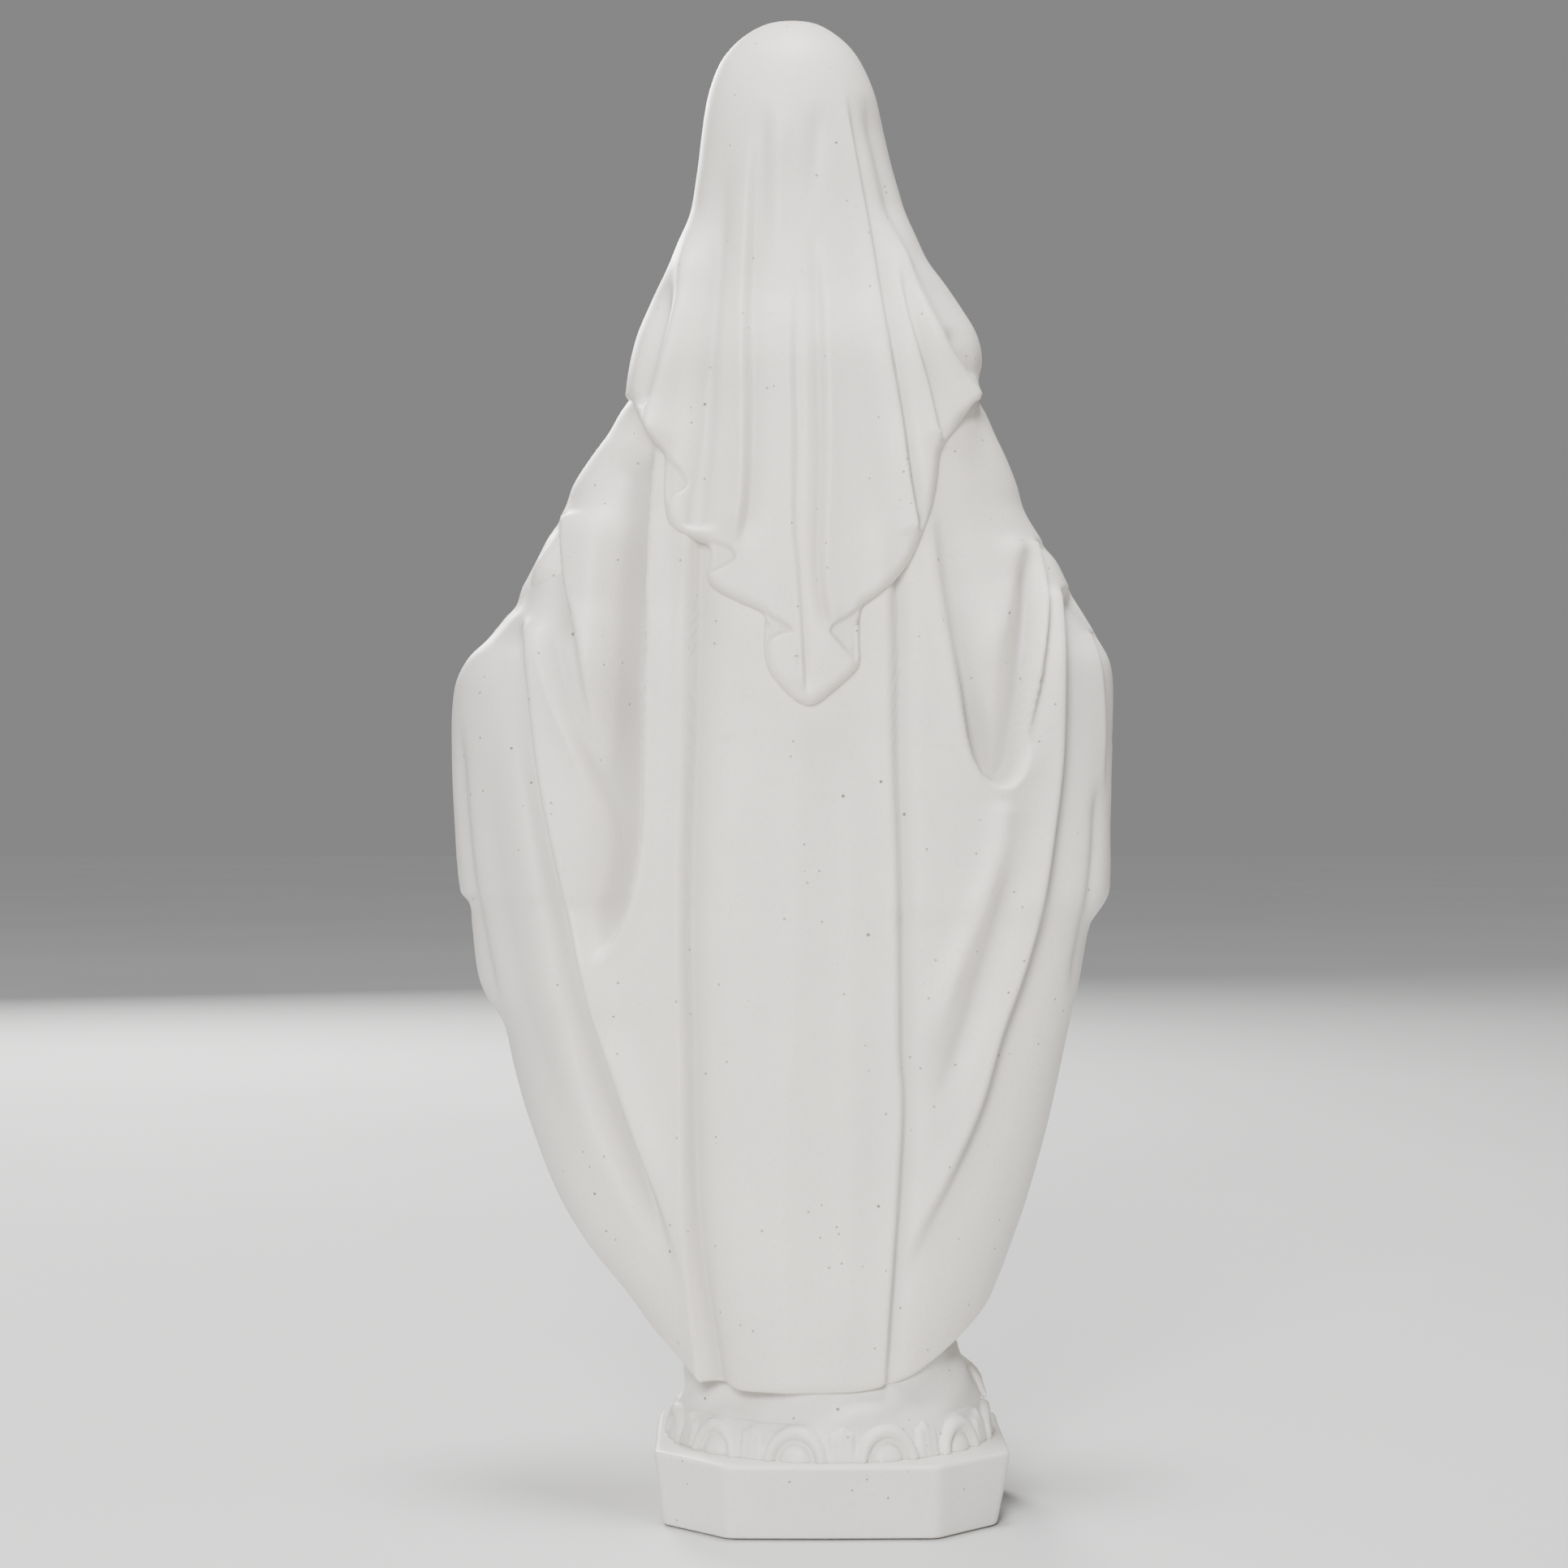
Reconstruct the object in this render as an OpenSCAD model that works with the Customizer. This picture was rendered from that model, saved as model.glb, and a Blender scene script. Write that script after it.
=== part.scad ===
// Standing madonna statue on a chamfered plinth, cast in bonded marble.
// The figure faces -Y, so its back faces +Y and its left side faces +X.
// The origin is the centre of the underside of the felt.

/* [Statue] */
// Height of the whole statue, from the felt to the crown of the veil
statue_h = 300; // [240:10:420]

/* [Plinth] */
// Width and depth of the plinth at its top edge
plinth_w = 69; // [66:1:76]
// Width of the flat middle of each plinth face
plinth_flat = 40; // [34:1:46]
// How far the plinth draws in towards its foot, on each side
plinth_draft = 2; // [0:0.5:3]
// Thickness of the felt under the plinth
felt_t = 0.8; // [0.5:0.1:1.5]

/* [Mound] */
// Radius of the mound at the plinth
mound_r = 32.4; // [31:0.1:32.8]
// Number of scallops round the foot of the mound
scallop_count = 11; // [9:1:13]
// Height of one scallop
scallop_h = 7; // [5:0.5:8]

/* [Fixings] */
// Diameter of the tie rod up the middle
rod_d = 5; // [4:0.5:6]
// Diameter of the neck dowel
neck_pin_d = 3; // [2:0.5:4]
// Diameter of each wrist dowel
wrist_pin_d = 2; // [1.5:0.25:2.25]

/* [Hidden] */

k = statue_h / 300;
marble = [0.9, 0.89, 0.87];
steel = [0.6, 0.61, 0.63];

plinth_h = 15;
mound_top = 44;
recess_r = 8;
recess_h = 7;
washer_t = 1;
nut_t = 4;
rod_top = 95;

// The left and right edges, the back, the widest line and the front of the mantle, by height.
mantle_left = [[28, 31], [34, 34], [44, 41], [54, 49], [64, 55.5], [79, 61.5], [98, 66.5], [118, 71],
    [138, 76], [160, 77.3], [168, 76], [173, 73], [178, 68], [184, 63], [192, 59], [202, 54],
    [212, 49], [222, 42.5], [232, 36], [240, 27], [246, 19]];
mantle_right = [[28, -26], [34, -27], [44, -32.5], [54, -36.5], [64, -40], [79, -44.5], [98, -49],
    [118, -53], [138, -57], [160, -58.4], [168, -58], [173, -56.5], [184, -50], [192, -46],
    [202, -39.5], [212, -36], [222, -31.5], [232, -27], [240, -16], [246, -6]];
mantle_back = [[28, 30.5], [60, 28], [100, 26], [140, 24.5], [210, 24], [225, 23], [236, 20], [246, 14]];
mantle_side = [[28, 4], [60, -3], [120, -6], [165, -7], [190, -4], [215, -1], [246, 0]];
mantle_front = [[28, 0], [60, -7], [110, -10], [140, -13], [155, -21], [175, -24], [195, -21],
    [215, -19], [232, -15], [246, -10]];
// The half width of the front opening, as a share of the mantle's half width.
mantle_open = [[28, 0.99], [140, 0.985], [152, 0.95], [160, 0.85], [170, 0.68], [185, 0.5],
    [200, 0.4], [215, 0.34], [230, 0.36], [246, 0.5]];

// The middle, half width, back and front of the gown, by height.
gown_middle = [[38, 3], [100, 4.5], [188, 6.5], [246, 6.5]];
gown_half = [[38, 25.5], [60, 24.5], [100, 23], [140, 22.5], [165, 20.5], [187, 15.5], [200, 17.5],
    [215, 20], [226, 20], [236, 14], [243, 9], [247, 8]];
gown_back = [[38, 19], [100, 18], [150, 18], [188, 15], [215, 17], [230, 15], [243, 9], [247, 8]];
gown_front = [[38, -26], [60, -23.5], [100, -21], [140, -20.5], [165, -20], [187, -15.5],
    [200, -18], [212, -20], [226, -16], [236, -11], [243, -9], [247, -8]];

// The left and right edges, the back and the front of the veil, by height.
veil_left = [[160, 34], [200, 38], [216, 40.5], [226, 40.8], [231, 40.2], [241, 37.4], [251, 32.6],
    [261, 28.5], [271, 26.8], [281, 25.5], [288, 23.9], [293, 21.5], [296, 19], [298.5, 14.5], [300, 9.5]];
veil_right = [[160, -24], [200, -28], [216, -30], [226, -29.4], [231, -30.6], [241, -27.3],
    [251, -20.4], [261, -15.8], [271, -12.6], [281, -10.3], [288, -8], [293, -5.5], [296, -3],
    [298.5, 1.5], [300, 6.5]];
veil_back = [[160, 27.5], [210, 27], [226, 26], [240, 22], [250, 19], [262, 18], [275, 18.5],
    [285, 17.5], [292, 14.5], [297, 9], [300, 1]];
veil_front = [[160, -10], [216, -21], [226, -20], [240, -17], [255, -16], [270, -18], [280, -19.5],
    [288, -18.5], [294, -14.5], [298, -8], [300, -2]];
veil_t = 2.2;

// The outline of the veil seen from the back, from the crown down its left side to the tip.
veil_outline = [[60, 305], [60, 230], [41, 225], [36, 213], [31, 206], [31, 198], [26, 192.5],
    [17, 190], [23.5, 186.5], [11.5, 180], [8, 177.5], [13, 172], [5, 162], [-4.5, 168], [-7, 178],
    [-14, 187], [-20, 194], [-23, 212], [-30, 223], [-60, 230], [-60, 305]];

// Arms: shoulder, elbow, cuff and fingertips, for the left and right arm.
left_arm = [[28, 4, 224], [52, 1, 187], [64, -21, 160], [70, -30, 131]];
right_arm = [[-14, 4, 224], [-36, 1, 187], [-46, -21, 160], [-51, -30, 131]];

head_at = [7, -1, 280];

function at(z, list) = lookup(z, list);
function span(a, b, n) = [for (i = [0:n]) a + (b - a) * i / n];

// One closed ring of points: middle x, half width, widest y, back y and front y.
function ring(z, x, half, side, back, front, n = 32) = [for (i = [0:n - 1]) let (a = 360 * i / n)
    [x + half * sin(a), side + cos(a) * (cos(a) > 0 ? back - side : side - front), z]];

function veil_ring(z, inset) = let (l = at(z, veil_left), r = at(z, veil_right))
    ring(z, (l + r) / 2, (l - r) / 2 - inset, 0, at(z, veil_back) - inset, at(z, veil_front) + inset);

function gown_ring(z, grow = 0) = ring(z, at(z, gown_middle), at(z, gown_half) + grow, 0,
    at(z, gown_back) + grow, at(z, gown_front) - grow);

function mantle_ring(z) = let (l = at(z, mantle_left), r = at(z, mantle_right))
    ring(z, (l + r) / 2, (l - r) / 2, at(z, mantle_side), at(z, mantle_back), at(z, mantle_front));

// One row of the mantle's wall, from its left front edge round the back to its right one.
function mantle_row(z, inset, n = 36) =
    let (l = at(z, mantle_left), r = at(z, mantle_right), side = at(z, mantle_side),
        end = 180 - asin(at(z, mantle_open)), lift = 5 * max(0, 1 - (z - 28) / 30))
    [for (i = [0:n]) let (a = end * (2 * i / n - 1), back = cos(a) > 0,
            deep = (back ? at(z, mantle_back) - side - 3 * inset : side - at(z, mantle_front) - inset))
        [(l + r) / 2 + ((l - r) / 2 - inset) * sin(-a), side + cos(a) * deep,
            z + lift * sin(a) * sin(a)]];

// A cast piece: everything inside it becomes one faceted shell, and bores are cut afterwards.
module cast() {
    color(marble) scale(k) resize([0, 0, 0]) children();
}

module loft(rings) {
    n = len(rings[0]);
    top = len(rings) - 1;
    polyhedron([for (r = rings, p = r) p],
        [[for (i = [n - 1:-1:0]) i], [for (i = [0:n - 1]) top * n + i],
            for (r = [0:top - 1], i = [0:n - 1], f = [0, 1]) let (j = (i + 1) % n)
            f == 0 ? [r * n + i, (r + 1) * n + j, (r + 1) * n + i] : [r * n + i, r * n + j, (r + 1) * n + j]]);
}

// A wall between two grids of rows that have the same size.
module wall(outer, inner) {
    n = len(outer[0]);
    rows = len(outer);
    m = n * rows;
    faces = [
        for (r = [0:rows - 2], i = [0:n - 2], f = [0, 1])
            f == 0 ? [r * n + i, r * n + n + i, r * n + n + i + 1] : [r * n + i, r * n + n + i + 1, r * n + i + 1],
        for (r = [0:rows - 2], i = [0:n - 2], f = [0, 1])
            f == 0 ? [m + r * n + i, m + r * n + n + i + 1, m + r * n + n + i]
                : [m + r * n + i, m + r * n + i + 1, m + r * n + n + i + 1],
        for (r = [0:rows - 2], e = [0, n - 1], f = [0, 1])
            let (a = r * n + e, b = a + n, q = f == 0 ? [a, m + a, m + b] : [a, m + b, b])
            e == 0 ? q : [q[2], q[1], q[0]],
        for (i = [0:n - 2], e = [0, rows - 1], f = [0, 1])
            let (a = e * n + i, b = a + 1, q = f == 0 ? [a, b, m + b] : [a, m + b, m + a])
            e == 0 ? q : [q[2], q[1], q[0]]];
    polyhedron([for (r = outer, p = r) p, for (r = inner, p = r) p], faces);
}

module chamfered(half, flat, h) {
    linear_extrude(h) polygon([[flat, -half], [half, -flat], [half, flat], [flat, half],
        [-flat, half], [-half, flat], [-half, -flat], [-flat, -half]]);
}

module limb(a, b, ra, rb) {
    hull() {
        translate(a) sphere(ra, $fn = 16);
        translate(b) sphere(rb, $fn = 16);
    }
}

module base_felt() {
    color("saddlebrown") scale(k) difference() {
        chamfered(plinth_w / 2 - plinth_draft - 1.5, plinth_flat / 2 - 1, felt_t);
        translate([0, 0, -1]) cylinder(r = recess_r, h = felt_t + 2, $fn = 64);
    }
}

module plinth() {
    half = plinth_w / 2;
    color(marble) scale(k) difference() {
        hull() {
            translate([0, 0, felt_t]) chamfered(half - plinth_draft, plinth_flat / 2, 0.01);
            translate([0, 0, plinth_h - 0.01]) chamfered(half, plinth_flat / 2, 0.01);
        }
        translate([0, 0, felt_t - 1]) cylinder(r = recess_r, h = recess_h + 1, $fn = 64);
        translate([0, 0, -1]) cylinder(d = rod_d / k, h = plinth_h + 2, $fn = 48);
    }
}

module mound_form() {
    translate([0, 0, plinth_h]) rotate_extrude($fn = 66)
        polygon([[0, 0], [mound_r - 3, 0], [mound_r - 3.4, 4], [mound_r - 4.2, 12], [mound_r - 6.4, 18],
            [mound_r - 9, 22.5], [mound_r - 14, 26], [mound_r - 22, 28.3], [0, mound_top - plinth_h]]);
}

module mound() {
    color(marble) scale(k) difference() {
        mound_form();
        cylinder(d = rod_d / k, h = mound_top + 2, $fn = 48);
    }
}

module scallop_border() {
    step = 360 / scallop_count;
    cast() difference() {
        union() {
            translate([0, 0, plinth_h]) cylinder(r1 = mound_r + 0.4, r2 = mound_r - 1.2, h = scallop_h - 2.5, $fn = 66);
            for (i = [0:scallop_count - 1]) rotate(90 + step * (i + 0.5))
                translate([mound_r - 5, 0, plinth_h]) rotate([0, 84, 0])
                    difference() {
                        cylinder(r = scallop_h, h = 6, $fn = 28);
                        translate([0, -10, -1]) cube([20, 20, 9]);
                    }
        }
        mound_form();
        translate([0, 0, plinth_h - 10]) cylinder(r = mound_r + 10, h = 10, $fn = 66);
    }
}

module serpent_path() {
    spots = [[-30, -9, 22], [-28, -17, 26], [-20, -24, 29.5], [-10, -28, 32], [2, -29.5, 32.5],
        [13, -27.5, 32], [22, -22.5, 31]];
    for (i = [0:len(spots) - 2]) limb(spots[i], spots[i + 1], 1.6 + i * 0.28, 1.6 + (i + 1) * 0.28);
}

module serpent() {
    cast() difference() {
        serpent_path();
        mound_form();
        scallop_border_space();
    }
}

module scallop_border_space() {
    translate([0, 0, plinth_h - 1]) cylinder(r = mound_r + 3, h = scallop_h + 1, $fn = 64);
}

module foot_form(x, turn) {
    translate([x, -21, 39]) rotate(turn) hull() {
        translate([0, 4, 1]) sphere(4.5, $fn = 20);
        translate([0, -6, -0.5]) scale([1.15, 1, 0.6]) sphere(4.2, $fn = 20);
    }
}

module foot(x, turn) {
    cast() difference() {
        foot_form(x, turn);
        mound_form();
        serpent_path();
        gown_form();
    }
}

module gown_form() {
    loft([for (z = concat(span(38, 187, 18), span(193, 247, 9))) gown_ring(z)]);
}

module gown() {
    difference() {
        cast() difference() {
            gown_form();
            mound_form();
        }
        scale(k) cylinder(d = rod_d / k, h = rod_top, $fn = 48);
        scale(k) translate([head_at[0], head_at[1], 230]) cylinder(d = neck_pin_d / k, h = 20, $fn = 32);
    }
}

module sash() {
    cast() difference() {
        union() {
            loft([for (z = span(182, 190, 4)) gown_ring(z, 1.4)]);
            translate([6.5, -16.5, 186]) scale([1.5, 0.9, 1.2]) sphere(3, $fn = 20);
            limb([5, -17.5, 185], [2, -22.2, 140], 1.6, 2.2);
            limb([8, -17.5, 185], [9, -22.2, 132], 1.6, 2.2);
        }
        gown_form();
    }
}

// The sleeve: upper arm, forearm and a wide hanging cuff.
module sleeve_form(arm) {
    limb(arm[0], arm[1], 8.5, 8);
    hull() {
        translate(arm[1]) sphere(8, $fn = 20);
        translate(arm[2] + [0, 2, 1]) sphere(6, $fn = 20);
        translate(arm[2] + [-sign(arm[2][0]) * 5, 7, -13]) sphere(3.5, $fn = 20);
    }
}

module hand_form(arm) {
    s = sign(arm[2][0]);
    wrist = arm[2];
    palm = wrist + [2 * s, -5, -9];
    limb(wrist + [0, 5, 4], wrist + [1 * s, -3, -5], 3, 2.9);
    hull() {
        translate(wrist + [1 * s, -3, -5]) sphere(2.8, $fn = 16);
        for (e = [-3.4, 3.4]) translate(palm + [e, 0, -3]) sphere(1.9, $fn = 16);
    }
    for (f = [0:3]) limb(palm + [-3.6 + 2.4 * f, 0, -4], palm + [-4.4 + 3 * f + s, -3, -15 - 1.5 * sin(60 * f)], 1.45, 1.05);
    limb(palm + [-3 * s, -1, 3], palm + [-7.5 * s, -4.5, -5], 1.6, 1.2);
}

module wrist_pin_form(arm, d) {
    s = sign(arm[2][0]);
    translate(arm[2] + [s, -3, -5]) rotate([-42, 0, 0]) cylinder(d = d, h = 16, $fn = 24);
}

module sleeve(arm) {
    difference() {
        cast() difference() {
            sleeve_form(arm);
            gown_form();
            hand_form(arm);
        }
        scale(k) wrist_pin_form(arm, wrist_pin_d / k);
    }
}

module hand(arm) {
    difference() {
        cast() hand_form(arm);
        scale(k) wrist_pin_form(arm, wrist_pin_d / k);
    }
}

module mantle_form() {
    loft([for (z = concat(span(28, 160, 14), span(168, 246, 9))) mantle_ring(z)]);
}

module mantle_shell() {
    heights = concat(span(28, 160, 14), span(168, 246, 9));
    wall([for (z = heights) mantle_row(z, 0)], [for (z = heights) mantle_row(z, 3)]);
}

module mantle() {
    cast() difference() {
        mantle_shell();
        gown_form();
        sleeve_form(left_arm);
        sleeve_form(right_arm);
        mound_form();
    }
}

// A hanging fall of cloth in pleats down one edge of the mantle, with a slanting hem.
function fall_row(edge, s, top, y, w, tall, v, inset) = [for (i = [0:12]) let (u = i / 12,
        z = top - tall * (1 - 0.75 * u) * v)
    [s * (abs(at(z, edge)) - 0.6 - w * u), y + 3 * sin(u * 540) + inset, z]];

module fall(edge, s, top, y, w, tall) {
    rows = span(0, 1, 7);
    wall([for (v = rows) fall_row(edge, s, top, y, w, tall, v, -s * 1.2)],
        [for (v = rows) fall_row(edge, s, top, y, w, tall, v, s * 1.2)]);
}

module left_mantle_fall() {
    cast() difference() {
        fall(mantle_left, 1, 158, -14, 21, 82);
        sleeve_form(left_arm);
        hand_form(left_arm);
        mantle_shell();
        gown_form();
    }
}

module right_mantle_fall() {
    cast() difference() {
        fall(mantle_right, -1, 154, -14, 17, 44);
        sleeve_form(right_arm);
        hand_form(right_arm);
        mantle_shell();
        gown_form();
    }
}

module head_form() {
    translate(head_at) scale([0.82, 1, 1.05]) sphere(15.5, $fn = 30);
    translate([head_at[0], head_at[1] - 6, 269]) scale([0.78, 0.8, 0.62]) sphere(11.5, $fn = 24);
    translate([head_at[0], head_at[1], 241]) cylinder(r = 6.3, h = 26, $fn = 30);
}

module head() {
    difference() {
        cast() difference() {
            head_form();
            gown_form();
        }
        scale(k) translate([head_at[0], head_at[1], 230]) cylinder(d = neck_pin_d / k, h = 34, $fn = 32);
    }
}

module face_window(grow = 0) {
    rotate([90, 0, 0]) linear_extrude(60) hull() {
        translate([head_at[0], 277]) scale([0.8, 1]) circle(13 + grow, $fn = 36);
        translate([head_at[0], 262]) circle(9 + grow, $fn = 36);
    }
}

module hair() {
    cast() difference() {
        union() {
            translate(head_at) scale([0.86, 1, 1.03]) sphere(17, $fn = 32);
            for (s = [-1, 1]) limb(head_at + [s * 12, -1, -8], head_at + [s * 9.5, 3, -26], 4.2, 3.2);
        }
        head_form();
        gown_form();
        translate([0, -9, 0]) face_window(-1);
        veil_wall_space();
    }
}

// The space outside the veil's lining, which the hair may not enter.
module veil_wall_space() {
    difference() {
        translate([-60, -60, 236]) cube([120, 120, 80]);
        veil_lining();
    }
}

module veil_lining() {
    loft([for (z = concat(span(232, 290, 10), [293, 295.5, 297.3])) veil_ring(z, veil_t)]);
}

module veil() {
    cast() difference() {
        intersection() {
            loft([for (z = concat(span(160, 226, 8), span(231, 288, 9), [292, 295, 297.2, 298.8, 300])) veil_ring(z, 0)]);
            rotate([90, 0, 0]) linear_extrude(120, center = true) polygon(veil_outline);
        }
        veil_lining();
        translate([0, 0, 0.01]) mantle_form();
        gown_form();
        sleeve_form(left_arm);
        sleeve_form(right_arm);
        face_window();
        translate([head_at[0] - 14, -60, 200]) cube([28, 60, 62]);
        translate([-60, -60, 150]) cube([120, 56, 70]);
    }
}

module neck_pin() {
    color(steel) scale(k) translate([head_at[0], head_at[1], 230]) cylinder(d = neck_pin_d / k, h = 34, $fn = 32);
}

module tie_rod() {
    color(steel) scale(k) translate([0, 0, 2]) cylinder(d = rod_d / k, h = rod_top - 2, $fn = 48);
}

module tie_washer() {
    color(steel) scale(k) translate([0, 0, felt_t + recess_h - washer_t]) difference() {
        cylinder(r = recess_r - 1, h = washer_t, $fn = 48);
        translate([0, 0, -1]) cylinder(d = rod_d / k, h = washer_t + 2, $fn = 48);
    }
}

module tie_nut() {
    color(steel) scale(k) translate([0, 0, felt_t + recess_h - washer_t - nut_t]) difference() {
        cylinder(d = rod_d / k * 1.848, h = nut_t, $fn = 6);
        translate([0, 0, -1]) cylinder(d = rod_d / k, h = nut_t + 2, $fn = 48);
    }
}

base_felt();
plinth();
mound();
scallop_border();
serpent();
foot(9, 12);  // left_foot
foot(-3, -8);  // right_foot
gown();
sash();
sleeve(left_arm);  // left_sleeve
sleeve(right_arm);  // right_sleeve
hand(left_arm);  // left_hand
hand(right_arm);  // right_hand
mantle();
left_mantle_fall();
right_mantle_fall();
head();
hair();
veil();
neck_pin();
color(steel) scale(k) wrist_pin_form(left_arm, wrist_pin_d / k);  // left_wrist_pin
color(steel) scale(k) wrist_pin_form(right_arm, wrist_pin_d / k);  // right_wrist_pin
tie_rod();
tie_washer();
tie_nut();
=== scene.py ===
"""Standing madonna in bonded marble: its looks, in the frame of its CAD.

Lengths are millimetres until a mesh is made. "across" is the distance sideways seen from behind, growing to
the figure's right hand, so that x = -across. The figure faces -Y.
"""
import math

import bpy
import numpy as np
import openvdb
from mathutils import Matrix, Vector


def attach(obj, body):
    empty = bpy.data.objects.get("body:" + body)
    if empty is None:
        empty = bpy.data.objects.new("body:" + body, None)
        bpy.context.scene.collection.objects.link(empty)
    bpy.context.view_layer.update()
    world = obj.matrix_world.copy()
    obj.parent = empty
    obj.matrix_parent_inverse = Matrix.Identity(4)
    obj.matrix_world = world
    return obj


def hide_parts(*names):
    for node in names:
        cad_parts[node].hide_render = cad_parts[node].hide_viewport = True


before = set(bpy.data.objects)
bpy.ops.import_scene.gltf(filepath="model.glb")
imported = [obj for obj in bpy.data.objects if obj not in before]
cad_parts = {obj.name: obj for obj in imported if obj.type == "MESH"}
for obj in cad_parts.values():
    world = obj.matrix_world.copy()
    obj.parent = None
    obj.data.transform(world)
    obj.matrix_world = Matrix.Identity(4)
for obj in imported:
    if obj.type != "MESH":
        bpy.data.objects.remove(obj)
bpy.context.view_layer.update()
PI = math.pi
# the material slots of the figure and of the base
FIGURE = "marble_figure"
BASE = "marble_base"


# ---------------------------------------------------------------- small maths

def smooth(lo, hi, v):
    """0 below lo, 1 above hi, and an easy curve between."""
    t = np.clip((v - lo) / (hi - lo), 0.0, 1.0)
    return t * t * (3.0 - 2.0 * t)


def mix(a, b, t):
    return a + (b - a) * t


def flow(points, steps=8):
    """A smooth line through the points."""
    p = np.array(points, float)
    p = np.vstack([2 * p[0] - p[1], p, 2 * p[-1] - p[-2]])
    t = np.linspace(0.0, 1.0, steps, endpoint=False)[:, None]
    out = []
    for a, b, c, d in zip(p[:-3], p[1:-2], p[2:-1], p[3:]):
        here = np.linalg.norm(c - b)
        start = (c - a) * here / (here + np.linalg.norm(b - a) + 1e-9)
        stop = (d - b) * here / (here + np.linalg.norm(d - c) + 1e-9)
        square = 3 * (c - b) - 2 * start - stop
        cube = 2 * (b - c) + start + stop
        out.append(b + start * t + square * t ** 2 + cube * t ** 3)
    out.append(p[-2:-1])
    return np.vstack(out)


def profile(*points):
    """A smooth value that depends on height, from (height, value) pairs."""
    at, value = np.array(points, float).T
    slope = np.empty(len(at))
    slope[1:-1] = (value[2:] - value[:-2]) / (at[2:] - at[:-2])
    slope[0] = (value[1] - value[0]) / (at[1] - at[0])
    slope[-1] = (value[-1] - value[-2]) / (at[-1] - at[-2])

    def read(z):
        i = np.clip(np.searchsorted(at, z) - 1, 0, len(at) - 2)
        h = at[i + 1] - at[i]
        t = np.clip((z - at[i]) / h, 0.0, 1.0)
        rise = value[i + 1] - value[i]
        a, b = slope[i] * h, slope[i + 1] * h
        return value[i] + a * t + (3 * rise - 2 * a - b) * t ** 2 + (a + b - 2 * rise) * t ** 3

    return read


def beside(line, across, z):
    """How far each spot lies beside a line (to its right going down, if positive), and where along it."""
    length = np.concatenate([[0.0], np.cumsum(np.hypot(*np.diff(line, axis=0).T))])
    best = np.full(across.shape, 1e9)
    side = np.zeros(across.shape)
    share = np.zeros(across.shape)
    for i in range(len(line) - 1):
        (ax, az), (bx, bz) = line[i], line[i + 1]
        dx, dz = bx - ax, bz - az
        span = dx * dx + dz * dz + 1e-9
        t = np.clip(((across - ax) * dx + (z - az) * dz) / span, 0.0, 1.0)
        gap = np.hypot(across - ax - t * dx, z - az - t * dz)
        closer = gap < best
        turn = dx * (z - az) - dz * (across - ax)
        best = np.where(closer, gap, best)
        side = np.where(closer, np.where(turn >= 0, gap, -gap), side)
        share = np.where(closer, (length[i] + t * math.sqrt(span)) / length[-1], share)
    return side, share


def fold(path, left, right, edge=0.8, fade=(0.1, 0.15), swell=(1, 1)):
    """A fold line, given from its top: height and reach of the cloth on its left and on its right."""
    return dict(path=path, left=left, right=right, edge=edge, fade=fade, swell=swell)


def ridge(path, height, reach, fade=(0.1, 0.15), swell=(1, 1)):
    return fold(path, (height, reach), (height, reach), 0.3, fade, swell)


def relief(folds, across, z):
    """The height that a set of folds adds at each spot."""
    out = np.zeros(across.shape)
    for f in folds:
        line = flow(f["path"], 6)
        reach = 2.4 * max(f["left"][1], f["right"][1])
        near = ((across > line[:, 0].min() - reach) & (across < line[:, 0].max() + reach)
                & (z > line[:, 1].min() - reach) & (z < line[:, 1].max() + reach))
        side, share = beside(line, across[near], z[near])
        low = f["left"][0] * np.exp(-(np.abs(side) / f["left"][1]) ** 1.7)
        high = f["right"][0] * np.exp(-(np.abs(side) / f["right"][1]) ** 1.7)
        amount = mix(low, high, smooth(-1.4 * f["edge"], 1.4 * f["edge"], side))
        amount *= smooth(0.0, f["fade"][0] + 1e-6, share)
        amount *= 1.0 - smooth(1.0 - f["fade"][1], 1.0 + 1e-6, share)
        out[near] += amount * np.interp(share, np.linspace(0, 1, len(f["swell"])), f["swell"])
    return out


def bump(across, z, at, size, height):
    """A soft swelling, size being its reach sideways and upwards."""
    return height * np.exp(-((across - at[0]) / size[0]) ** 2 - ((z - at[1]) / size[1]) ** 2)


def inside(outline, across, z):
    """How far each spot lies inside a closed outline, and the nearest spot of the outline."""
    best = np.full(across.shape, 1e9)
    near_a = np.zeros(across.shape)
    near_z = np.zeros(across.shape)
    odd = np.zeros(across.shape, bool)
    for (ax, az), (bx, bz) in zip(outline, np.roll(outline, -1, axis=0)):
        dx, dz = bx - ax, bz - az
        t = np.clip(((across - ax) * dx + (z - az) * dz) / (dx * dx + dz * dz + 1e-9), 0.0, 1.0)
        qa, qz = ax + t * dx, az + t * dz
        gap = np.hypot(across - qa, z - qz)
        closer = gap < best
        best = np.where(closer, gap, best)
        near_a = np.where(closer, qa, near_a)
        near_z = np.where(closer, qz, near_z)
        if az != bz:
            crosses = ((az > z) != (bz > z)) & (across < (bx - ax) * (z - az) / (bz - az) + ax)
            odd ^= crosses
    return np.where(odd, best, -best), near_a, near_z


# ---------------------------------------------------------------- making meshes

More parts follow.
